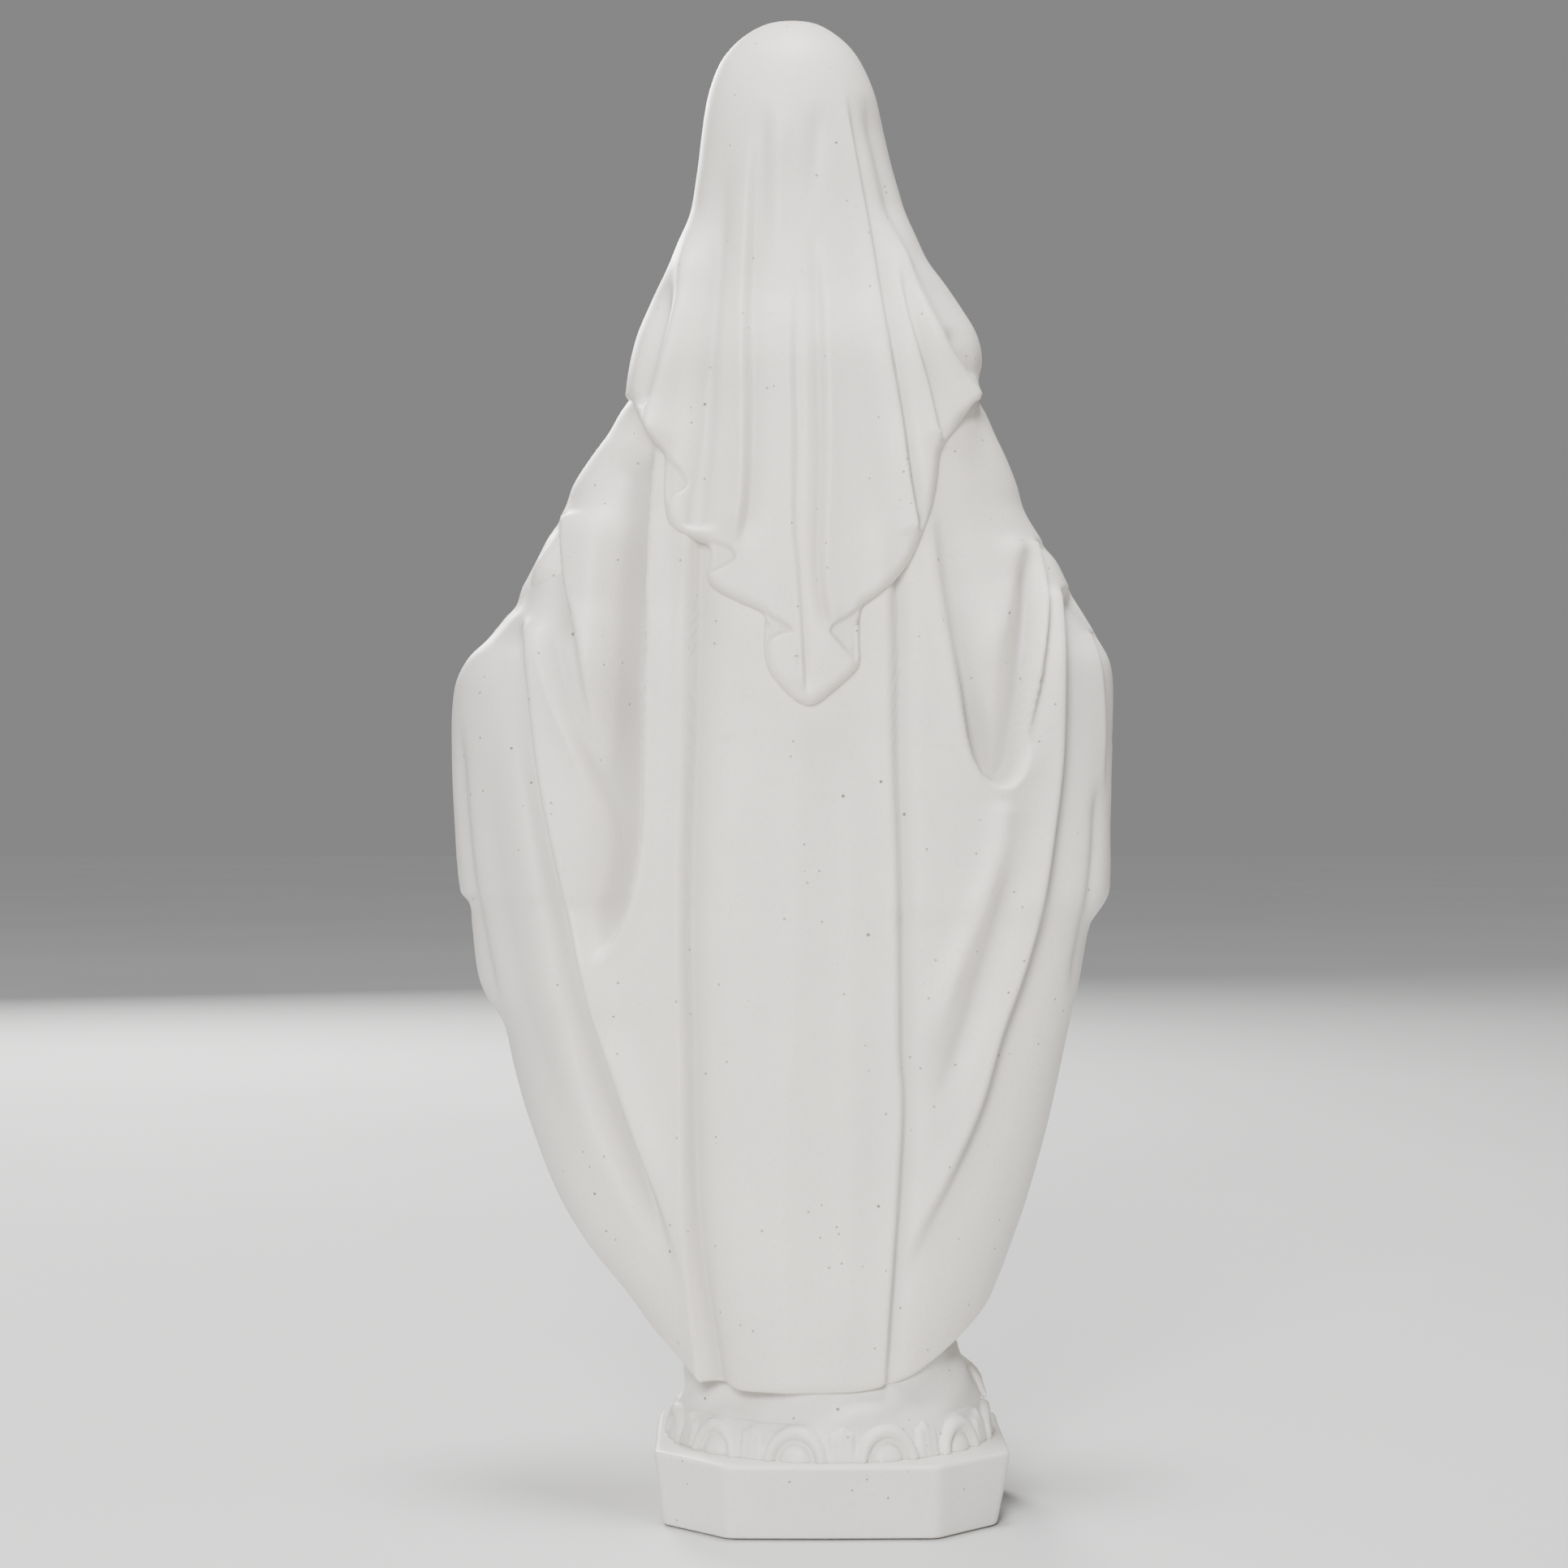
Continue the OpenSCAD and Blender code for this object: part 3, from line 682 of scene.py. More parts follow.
veil_left = profile((150, -12), (160, -15), (170, -20), (180, -28), (190, -33), (200, -37.5),
                    (208, -39.5), (216, -40.9), (222, -41.0), (226, -40.7), (231, -39.9), (236, -38.7),
                    (241, -36.9), (246, -34.7), (251, -31.9), (256, -29.7), (261, -28.1), (266, -27.2),
                    (271, -26.5), (276, -25.9), (281, -25.2), (285, -24.4), (289, -23.1), (292, -21.6),
                    (294.5, -19.6), (296.5, -17.4), (298.2, -14.8), (299.4, -11.8), (300, -8.0))
veil_right = profile((150, 2), (160, 4), (170, 9), (180, 14), (190, 20), (200, 25), (208, 28),
                     (216, 30.2), (222, 30.2), (226, 29.7), (231, 30.7), (236, 29.7), (241, 27.0),
                     (246, 23.7), (251, 20.0), (256, 17.6), (261, 15.5), (266, 14.0), (271, 12.6),
                     (276, 11.4), (281, 10.2), (285, 9.1), (289, 7.5), (292, 5.9), (294.5, 4.0),
                     (296.5, 1.8), (298.2, -0.6), (299.4, -3.4), (300, -7.4))
veil_back = profile((150, 27), (222, 26.5), (230, 25.2), (238, 22.6), (246, 20.2), (254, 18.8),
                    (262, 18.2), (272, 18.4), (280, 18.0), (286, 16.6), (291, 14.4), (295, 11.0),
                    (298, 6.6), (299.4, 3.2), (300, -0.5))
veil_front = profile((150, -12), (214, -22.5), (226, -20.5), (236, -18.0), (246, -16.0), (256, -15.5),
                     (266, -17.0), (276, -18.8), (283, -19.3), (288, -18.2), (292, -15.6), (295, -12.4),
                     (298, -8.0), (299.4, -4.6), (300, -1.2))
veil_gap = profile((205, 19.0), (216, 17.5), (225, 15.0), (235, 12.8), (245, 12.0), (255, 12.4),
                   (264, 12.9), (272, 12.6), (279, 11.2), (285, 8.4), (289, 5.0), (291.5, 1.6),
                   (292.6, 0.02), (300, 0.01))

VEIL_HEM = [(60, 306), (60, 236), (33.5, 224.6), (28.6, 221.6), (27.0, 219.2), (25.0, 216.3),
            (22.8, 213.4), (21.5, 210.8), (21.0, 206.4), (20.1, 201.4), (19.0, 197.6), (17.4, 193.7),
            (15.6, 189.8), (13.0, 186.2), (11.0, 184.2), (8.3, 182.1), (6.2, 180.6), (5.6, 178.3),
            (5.5, 173.8), (5.6, 169.6), (4.6, 167.8), (1.9, 165.3), (-0.3, 163.4), (-2.5, 161.7),
            (-4.4, 161.1), (-6.9, 162.0), (-9.1, 163.9), (-11.9, 167.2), (-13.0, 170.5), (-13.2, 174.4),
            (-13.2, 178.8), (-17.4, 181.0), (-20.7, 182.7), (-23.4, 184.6), (-24.3, 186.5),
            (-23.7, 188.7), (-23.6, 191.6), (-24.4, 192.9), (-26.8, 193.8), (-29.0, 194.7),
            (-31.5, 196.5), (-32.4, 198.7), (-32.8, 203), (-32.7, 207), (-32.7, 210.2), (-34.2, 212.2),
            (-35.6, 214.1), (-37.2, 216.9), (-38.7, 220.0), (-39.8, 222.6), (-44, 226), (-60, 240),
            (-60, 306)]
# where the hem turns under, a second layer shows beside the first
TURNED_UNDER = [
    [(-34.5, 211.5), (-32.0, 209.8), (-30.3, 208.0), (-29.0, 206.4), (-28.4, 204.7), (-29.0, 203.4),
     (-30.6, 202.3), (-32.0, 200.3), (-32.3, 198.1), (-35, 197)],
    [(-24.6, 193.2), (-21.8, 192.7), (-19.9, 192.0), (-18.9, 190.9), (-18.8, 189.6), (-20.1, 188.5),
     (-21.8, 187.5), (-24.0, 186.6), (-27, 187), (-27, 193)],
    [(-13.6, 179.5), (-10.2, 177.7), (-7.5, 175.7), (-9.7, 174.9), (-11.9, 173.3), (-12.9, 170.4),
     (-16, 170), (-16, 179)],
    [(6.3, 180.7), (3.0, 178.5), (0.7, 177.2), (-0.2, 175.5), (1.4, 173.3), (4.4, 169.7), (8, 168), (8, 181)],
]
VEIL_LAP = [(60, 306), (60, 236), (33.5, 224.6), (28.6, 221.6), (26.6, 218.6), (20, 214.0), (12, 212.8),
            (6, 214.5), (-2, 216), (-12, 215.6), (-18, 213.6), (-26, 212.8), (-33, 214.2), (-38.7, 220.0),
            (-39.8, 222.6), (-44, 226), (-60, 240), (-60, 306)]

VEIL_FOLDS = [
    # three deep pleats on the left
    ridge([(-27.0, 262), (-27.6, 250), (-28.1, 241.7), (-29.5, 234.5), (-31.7, 226.3), (-33.7, 218.5),
           (-34.6, 214.0)], 2.5, 2.9, (0.3, 0.0), (0.6, 1, 1.2, 1.2)),
    ridge([(-31.5, 250), (-33.2, 238), (-35.2, 228), (-37.2, 219.5)], -1.4, 2.1, (0.35, 0.1)),
    ridge([(-20.5, 276), (-22.1, 254), (-23.3, 240), (-24.3, 226), (-24.8, 214), (-26.0, 203),
           (-26.4, 195)], -2.1, 2.3, (0.35, 0.02), (0.5, 0.8, 1.2, 1.3)),
    fold([(-15.6, 278), (-15.9, 254), (-16.4, 240), (-16.3, 214), (-16.9, 200), (-18.6, 191.5)],
         (1.5, 3.0), (-1.4, 2.6), 0.6, (0.35, 0.08), (0.6, 0.9, 1.1, 1.2)),
    # the narrow pleat down the middle
    fold([(-7.0, 250), (-7.4, 231), (-7.1, 214), (-7.2, 195), (-6.6, 189), (-5.8, 178), (-5.0, 163)],
         (0.7, 3.2), (-0.8, 1.2), 0.4, (0.3, 0.04)),
    fold([(-2.6, 256), (-1.8, 236), (-1.4, 214), (-1.5, 203), (-1.8, 192), (-1.6, 184), (-0.4, 178),
          (1.6, 174)], (-1.8, 1.7), (0.9, 3.4), 0.7, (0.25, 0.08), (0.7, 1, 1.2, 1.2)),
    # the right panel, its crease, and the pull to the right corner
    fold([(2.9, 284), (5.2, 270), (7.6, 257), (10.0, 242), (12.2, 228), (14.1, 217), (15.6, 206),
          (17.6, 194.5)], (1.2, 2.6), (-1.8, 2.0), 0.6, (0.15, 0.02), (0.6, 0.9, 1, 1.2)),
    ridge([(6.6, 284), (9.2, 275), (11.6, 265), (13.8, 255), (16.4, 247), (18.8, 240.5)], -1.2, 1.9,
          (0.2, 0.3)),
    ridge([(11.5, 262), (14.0, 251), (17.0, 240.5), (20.8, 233), (24.6, 226.6), (28.1, 221.2)], 2.2, 2.2,
          (0.3, 0.0)),
    fold([(12.5, 250), (15.2, 238), (18.8, 226), (21.3, 215.5)], (1.2, 1.9), (-1.9, 2.2), 0.7, (0.3, 0.0)),
    ridge([(22.0, 236), (25.8, 230), (29.0, 226)], -0.8, 1.7, (0.3, 0.2)),
    ridge([(-10.5, 282), (-10.8, 262), (-11.2, 246)], 0.5, 2.4, (0.3, 0.4)),
    ridge([(-13.0, 281), (-13.2, 266), (-13.0, 250)], -0.6, 1.6, (0.3, 0.4)),
    ridge([(-2.4, 281), (-3.0, 270), (-4.0, 258)], -0.5, 2.0, (0.3, 0.5)),
]
VEIL_FRONT_FOLDS = []
for line, out, back in (
        ([(-22, 268), (-24, 250), (-30, 232), (-34, 216)], (-1.2, 2.4), (1.3, 2.6)),
        ([(-19.5, 256), (-21, 240), (-24, 226), (-26, 214)], (-1.2, 2.0), (1.2, 2.2))):
    VEIL_FRONT_FOLDS.append(fold(line, out, back, 0.7, (0.3, 0.1)))
    VEIL_FRONT_FOLDS.append(fold([(-14 - a, z) for a, z in line], back, out, 0.7, (0.3, 0.1)))


def veil_form(turn, z):
    left, right = veil_left(z), veil_right(z)
    c = np.cos(turn)
    across = (left + right) / 2 + (right - left) / 2 * np.sin(turn)
    return across, np.where(c > 0, veil_back(z) * np.maximum(c, 0) ** 0.9, -veil_front(z) * c)


VEIL_THICK = 2.2


def build_veil():
    rows, cols = 330, 286
    # rows are evenly spaced along the cloth, so the crown is as fine as the rest
    heights = np.linspace(157.0, 300.0, 2400)
    steps = np.hypot(np.diff(heights), np.diff(veil_back(heights)) + 0.5 * np.diff(veil_right(heights)))
    run = np.concatenate([[0.0], np.cumsum(steps)])
    z = np.interp(np.linspace(0, run[-1], rows), run, heights)[:, None] * np.ones((1, cols))
    half = (veil_right(z) - veil_left(z)) / 2
    end = PI - np.arcsin(np.clip(veil_gap(z) / np.maximum(half, 1.0), 0, 1))
    a = np.linspace(-1.0, 1.0, cols)[None, :] * end
    across, y = veil_form(a, z)
    behind = np.cos(a) > 0
    gap_b, qa_b, qz_b = inside(flow(VEIL_HEM, 3), across, z)
    gap_f, qa_f, qz_f = inside(flow(VEIL_LAP, 3), across, z)
    gap = np.where(behind, gap_b, gap_f)
    # draw the points that are close to the hem onto it, so the hem is clean
    pull = np.exp(-(gap / 0.42) ** 2) * smooth(230, 226, z) * smooth(0.12, 0.4, np.abs(np.cos(a)))
    across = mix(across, np.where(behind, qa_b, qa_f), pull)
    z = mix(z, np.where(behind, qz_b, qz_f), pull)
    gap = gap * (1 - pull)
    thick = 3.2 + bump(across, z, (-34.5, 214.5), (3.6, 4.0), 2.0) + bump(across, z, (28, 221), (4, 4), 1.2)
    edge = thick * np.sqrt(np.clip(1 - (1 - np.clip(gap / 2.0, 0, 1)) ** 2.4, 0, 1))
    rest = smooth(244, 222, z)
    swell = softened(np.clip(back_relief(across, np.minimum(z, 222.0)), 0, 3) * 0.85, 4)
    low_z = z - 2.0 * np.logaddexp(0.0, (z - 221.0) / 2.0)
    under = np.where(behind, mantle_skin(across, low_z) + swell, mantle_skin(across, low_z, True))
    form = mix(y, under, rest)
    p = np.stack([-across, form, z], -1)
    n = across_normals(p)
    back = smooth(-0.1, 0.15, np.cos(a))
    lift = 1.25 * relief(VEIL_FOLDS, across, z) * back + relief(VEIL_FRONT_FOLDS, across, z) * (1 - back)
    for outline in TURNED_UNDER:
        turned = smooth(-0.35, 0.55, inside(flow(outline, 3), across, z)[0])
        lift -= 1.6 * turned * behind * np.clip(edge / thick, 0, 1)
    lift *= smooth(-0.1, 1.0, gap)
    lift *= smooth(0.0, 0.03, 1 - np.abs(a) / end)
    # no fold of the veil dips into the mantle below it
    deepest = -0.8 * edge - 6.0 * (1 - rest)
    lift = np.where(behind, np.logaddexp(lift * 4.0, deepest * 4.0) / 4.0, lift)
    # painted shade in the veil's folds and at its hem
    painted_shade = fold_shade(lift + edge * 0.5)
    facing = smooth(0.0, 0.35, np.abs(np.cos(a)))
    p[..., 1] += np.where(behind, edge, -edge) * rest * facing
    p += n * (lift - np.clip(-gap * 6.0, 0, 5.0))[..., None]
    keep = gap > -0.9
    inner = p - n * (VEIL_THICK + lift - lowest(lift, 5))[..., None]
    cloth("veil", p, VEIL_THICK, painted_shade, foot=False, keep=keep, inner=inner)


# ---------------------------------------------------------------- the gown and its sash

gown_middle = profile((36, -3), (100, -4.5), (188, -6.5), (250, -6.8))
gown_half = profile((36, 25.5), (60, 24.5), (100, 23), (140, 22.5), (165, 20.5), (180, 16.5),
                    (187, 15.2), (194, 16.2), (205, 18.5), (217, 20.5), (228, 19.5), (237, 14),
                    (243, 9.4), (248, 8.2))
gown_back = profile((36, 19), (100, 18), (150, 18), (188, 15), (215, 17), (230, 15), (243, 9), (248, 7.6))
gown_front = profile((36, -26.5), (60, -23.5), (100, -21.5), (140, -21), (165, -19.5), (180, -16.6),
                     (187, -15.6), (194, -16.6), (203, -18.6), (211, -19.6), (220, -18), (230, -14),
                     (238, -10.8), (244, -8.8), (248, -8))


def gown_skin(across, z):
    """How far forward the gown stands at a spot."""
    s = np.clip((across - gown_middle(z)) / gown_half(z), -1, 1)
    return gown_front(z) * np.sqrt(1 - s * s)


GOWN_FOLDS = [
    fold([(-16, 181), (-18, 150), (-20, 110), (-23, 70), (-25, 38)], (-1.8, 2.6), (1.6, 2.6), 0.8,
         (0.08, 0.0)),
    fold([(-12, 181), (-13, 160), (-12.5, 130), (-14, 90), (-16, 38)], (-1.9, 2.4), (1.8, 2.8), 0.8,
         (0.06, 0.0), (0.7, 1, 1.2)),
    fold([(-8.5, 181), (-8.6, 150), (-7.0, 110), (-7.6, 70), (-9, 38)], (-1.6, 2.2), (1.6, 2.4), 0.7,
         (0.06, 0.0), (0.7, 1, 1.2)),
    fold([(-5.0, 178), (-4.2, 150), (-2.4, 110), (-2.0, 70), (-2.6, 38)], (1.5, 2.2), (-1.8, 2.4), 0.7,
         (0.1, 0.0), (0.7, 1, 1.3)),
    fold([(-2.0, 181), (0.4, 150), (3.6, 112), (5.0, 70), (4.6, 38)], (1.6, 2.6), (-1.9, 2.4), 0.8,
         (0.06, 0.0), (0.7, 1, 1.2)),
    fold([(1.5, 181), (6.0, 150), (10.2, 112), (12.0, 70), (12.6, 38)], (1.6, 2.4), (-1.8, 2.6), 0.8,
         (0.06, 0.0), (0.7, 1, 1.2)),
    fold([(5.5, 180), (11.0, 150), (15.2, 110), (17.0, 70), (18.6, 38)], (1.4, 2.4), (-1.7, 2.6), 0.8,
         (0.06, 0.0)),
    ridge([(-14, 72), (-10, 64), (-7, 50)], 1.2, 2.4, (0.3, 0.2)),
    ridge([(9, 80), (6, 66), (1, 56)], 1.0, 2.4, (0.3, 0.3)),
    # gathers over the bust, from the sash up
    ridge([(-11, 222), (-10, 206), (-9.6, 190)], -1.0, 1.6, (0.3, 0.1)),
    ridge([(-8, 226), (-8.0, 206), (-8.0, 190)], 0.9, 1.5, (0.3, 0.1)),
    ridge([(-5.6, 224), (-6.0, 206), (-6.4, 190)], -1.0, 1.4, (0.3, 0.1)),
    ridge([(-2.5, 222), (-3.2, 206), (-4.4, 190)], -1.0, 1.6, (0.3, 0.1)),
    ridge([(0.2, 220), (-0.8, 206), (-2.6, 190)], 0.8, 1.6, (0.3, 0.1)),
    ridge([(-14, 218), (-13, 204), (-11.6, 190)], 0.9, 1.7, (0.3, 0.1)),
    ridge([(-17, 214), (-15.4, 202), (-13.4, 190)], -1.1, 1.7, (0.3, 0.1)),
    ridge([(3.4, 216), (1.6, 202), (-0.4, 190)], -1.1, 1.7, (0.3, 0.1)),
    # the round neckline
    ridge([(-14.5, 246), (-12, 241.5), (-7, 239.4), (-2, 241.5), (0.5, 246)], 0.7, 0.9, (0.05, 0.05)),
]


def build_gown():
    rows, cols = 290, 250
    turn = np.linspace(-PI, PI, cols, endpoint=False)[None, :]
    front = smooth(0.1, -0.3, np.cos(turn))
    foot = 38.5 + (2.4 * np.sin(turn * 7.0) + 1.5 * np.sin(turn * 13.0 + 1.0)) * 0.45 * front + 1.6 * front
    z = foot + (248.0 - foot) * np.linspace(0, 1, rows)[:, None]
    c = np.cos(turn)
    across = gown_middle(z) + gown_half(z) * np.sin(turn)
    y = np.where(c > 0, gown_back(z) * c, -gown_front(z) * c)
    p = np.stack([-across, y, z], -1)
    n = across_normals(p, True)
    lift = relief(GOWN_FOLDS, across, z) * front
    lift += front * (bump(across, z, (2, 108), (7, 22), 1.6) + bump(across, z, (-13, 212), (5.5, 6), 1.5)
                     + bump(across, z, (-1, 212), (5.5, 6), 1.5))
    p = p + n * lift[..., None]
    wrap = np.linspace(0, PI, 6)[1:]
    down = unit(p[0] - p[1])
    rim = [p[0] - n[0] * (1 - math.cos(t)) * 1.3 + down * math.sin(t) * 1.2 for t in wrap]
    inner = p[0] - n[0] * 2.6 + np.array([0, 0, 9.0])
    full = np.concatenate([inner[None], np.stack(rim[::-1], 0), p], 0)
    # painted shade: the rolled hem and the inside of the gown darker, and the folds by their depth
    depth = np.concatenate([np.full((6, cols), 0.6), fold_shade(lift)], 0)
    faces = grid_faces(full.shape[0], cols, 0, True)
    make("gown", full.reshape(-1, 3), faces, depth=depth.ravel())


TAIL_HALF = 2.3


def build_sash():
    cols, ring = 220, 26
    turn = np.linspace(-PI, PI, cols, endpoint=False)[None, :]
    t = np.linspace(0, 2 * PI, ring, endpoint=False)[:, None]
    z0 = 186.0 + 0.5 * np.sin(turn * 3)
    out = 0.6 + 1.25 * np.sign(np.cos(t)) * np.abs(np.cos(t)) ** 0.6
    z = z0 + 4.0 * np.sign(np.sin(t)) * np.abs(np.sin(t)) ** 0.75
    out = out + 0.28 * np.sin(t * 2 + turn * 2.0) * np.cos(t).clip(0)
    out = out - 0.35 * np.exp(-((z - z0 - 1.2) / 0.5) ** 2)
    c = np.cos(turn)
    half = gown_half(z0) + out
    across = gown_middle(z0) + half * np.sin(turn)
    y = np.where(c > 0, (gown_back(z0) + out) * c, -(gown_front(z0) - out) * c)
    band = np.stack([-across, y, z], -1).reshape(-1, 3)
    here = np.arange(cols)
    beyond = (here + 1) % cols
    end = (ring - 1) * cols
    faces = [grid_faces(ring, cols, 0, True), np.stack([end + here, end + beyond, beyond, here], -1)]
    points = [band]
    start = len(band)
    # the two hanging tails
    for path in ([(-5.6, 186), (-4.4, 172), (-1.0, 154), (0.4, 138)],
                 [(-7.4, 186), (-9.0, 170), (-9.6, 150), (-11.2, 130)]):
        line = flow(path, 16)
        share = np.linspace(0, 1, len(line))[:, None]
        aside = np.linspace(-1, 1, 9)[None]
        a = line[:, :1] + TAIL_HALF * (0.55 + 0.55 * share) * aside
        zz = line[:, 1:] - (share > 0.97) * 1.6 * aside
        arch = 0.55 * np.cos(aside * 3.4) + 0.35
        yy = gown_skin(a, zz) - relief(GOWN_FOLDS, a, zz) * 0.6 - 1.5 - arch * (0.6 + 0.8 * share)
        front = np.stack([-a, yy, zz], -1)
        back = front + np.array([0, 2.6, 0])
        loop = np.concatenate([front, back[:, ::-1]], 1)
        rows, m = loop.shape[:2]
        points.append(loop.reshape(-1, 3))
        faces.append(grid_faces(rows, m, start, True))
        tip = start + (rows - 1) * m
        i = np.arange(m // 2 - 1)
        faces.append(tip + np.stack([i, i + 1, m - 2 - i, m - 1 - i], -1))
        start += rows * m
    # the knot
    t = np.linspace(0, PI, 22)[:, None]
    s = np.linspace(0, 2 * PI, 30, endpoint=False)[None]
    knot = np.stack([6.5 + 4.0 * np.sin(t) * np.cos(s) * (1 + 0.10 * np.sin(s * 3 + t * 4)),
                     -17.6 + 2.4 * np.sin(t) * np.sin(s),
                     186.0 + 4.6 * np.cos(t) + 0 * s + 0.5 * np.sin(s * 2) * np.sin(t)], -1)
    points.append(knot.reshape(-1, 3))
    faces.append(grid_faces(22, 30, start, True)[:, ::-1])
    make("sash", np.concatenate(points), np.concatenate(faces))


# ---------------------------------------------------------------- the falls of cloth below the wrists

def build_fall(node, side, top, tail, reach, pleats, hem_rise):
    """A cascade of pleats: a cloth folded back and forth, whose slanting hem shows as a zig-zag."""
    rows, cols = 90, 150
    s = np.linspace(0, 1, cols)[None, :]
    v = np.linspace(0, 1, rows)[:, None]
    hem = tail + hem_rise * s ** 0.85
    z = hem + (top - hem) * v
    drop = 1 - v
    edge = mantle_left(z) if side < 0 else mantle_right(z)
    spread = mix(0.55, 1.0, drop ** 0.7)
    wave = np.sin(2 * PI * pleats * s + 0.5)
    swing = np.sign(wave) * np.abs(wave) ** 0.7
    inward = 1.0 + reach * (0.75 + 0.25 * drop) * s
    inward = inward + 2.3 * spread * np.cos(2 * PI * pleats * s + 0.4) * smooth(0, 0.08, s) * (1 - 0.3 * s)
    across = edge - side * inward
    y = -12.5 + 3.3 * spread * swing * (0.6 + 0.4 * drop) - 2.0 * s + 2.0 * drop * s
    p = np.stack([-across, y, z], -1)
    # its good side looks forward
    if across_normals(p)[..., 1].mean() > 0:
        p = p[:, ::-1]
    # painted shade: the pleats darker where the cloth turns back
    cloth(node, p, 1.5, np.clip(0.25 - 0.5 * wave * np.ones_like(z), 0, 0.5), lining=2)


# ---------------------------------------------------------------- sleeves and hands

def arm_points(side):
    """Shoulder, elbow and wrist, side -1 being the figure's left."""
    if side < 0:
        return np.array([(28, 4, 224), (52, 1, 187), (64, -21, 160)], float)
    return np.array([(-14, 4, 224), (-36, 1, 187), (-46, -21, 160)], float)


def sleeve_shape(side):
    shoulder, elbow, wrist = arm_points(side)
    out = -side

    def shape(p):
        body = limb(p, shoulder, elbow, 8.0, 7.6)
        fore = limb(p, elbow, wrist + (0, 2, 1), 7.6, 6.4)
        drop = limb(p, elbow + (0, -4, -6), wrist + (-out * 5, 7, -13), 5.0, 3.6)
        body = meld(meld(body, fore, 2.0), drop, 7.0)
        axis = (wrist - elbow) / np.linalg.norm(wrist - elbow)
        run = (p[0] - elbow[0]) * axis[0] + (p[1] - elbow[1]) * axis[1] + (p[2] - elbow[2]) * axis[2]
        swirl = p[0] * 0.5 * out + p[2] * 0.6
        creases = np.sin(run * 0.62 + swirl * 0.30)
        body = body + 0.55 * creases * smooth(0, 8, run) * (1 - smooth(24, 30, run))
        mouth = limb(p, wrist - axis * 6, wrist + axis * 14, 4.6, 6.6)
        droop = limb(p, wrist + (-out * 4, 5, -10), wrist + (-out * 5, 0, -16) + axis * 8, 2.4, 3.6)
        mouth = meld(mouth, droop, 5.0)
        end = run - np.linalg.norm(wrist - elbow) - 3.0 + 0.5 * np.sin(p[2] * 0.8)
        body = -meld(-body, -end, 1.0)
        return cut(body, mouth, 1.0)

    return shape


# each finger's place across the palm, its length and its bend
FINGERS = [(-3.3, 9.6, 0.6), (-1.15, 11.0, 0.2), (1.05, 10.3, 0.5), (3.1, 8.2, 1.1)]


def hand_shape(side):
    """An open hand held palm forward, fingers down and a little apart."""
    wrist = arm_points(side)[2]
    out = -side

    def shape(p):
        root = wrist + (0, 5, 5)
        heel = wrist + (out * 0.8, -2.0, -3.5)
        body = limb(p, root, heel, 3.3, 2.7)
        palm = wrist + (out * 1.8, -4.2, -9.5)
        pad = egg(p, palm, (4.4, 2.1, 5.6))
        body = meld(body, pad, 2.4)
        body = meld(body, egg(p, palm + (-out * 2.6, -0.9, 1.4), (1.9, 1.7, 3.4)), 1.4)
        body = meld(body, egg(p, palm + (out * 2.6, -0.6, 1.0), (1.5, 1.5, 3.6)), 1.4)
        for spread, long, bend in FINGERS:
            base = palm + (out * spread, 0.1, -4.2 + 0.25 * abs(spread))
            lean = spread * 0.13 * out + 0.05 * out
            b = base + np.array((lean * 4, -0.9 - bend * 0.4, -long * 0.42))
            c = b + np.array((lean * 3, -1.3 - bend * 0.7, -long * 0.30))
            d = c + np.array((lean * 2, -1.2 - bend * 0.5, -long * 0.22))
            finger = strand(p, [base, b, c, d], [1.28, 1.16, 1.04, 0.86], 0.5)
            body = meld(body, finger, 0.75)
        a = palm + (-out * 3.0, -0.9, 2.6)
        b = palm + (-out * 6.0, -2.4, -1.6)
        c = palm + (-out * 7.2, -3.6, -5.8)
        thumb = strand(p, [a, b, c], [1.75, 1.35, 1.05], 0.8)
        body = meld(body, thumb, 1.3)
        return body

    return shape


# ---------------------------------------------------------------- head and hair

HEAD = np.array([7.0, -1.0, 279.5])
BOW = math.radians(9.0)


def head_space(p):
    """Turns the field's points into the head's own space, undoing its bow."""
    x = p[0] - HEAD[0]
    y0, z0 = p[1] - HEAD[1], p[2] - HEAD[2]
    y = y0 * math.cos(BOW) + z0 * math.sin(BOW)
    z = -y0 * math.sin(BOW) + z0 * math.cos(BOW)
    return x, y, z


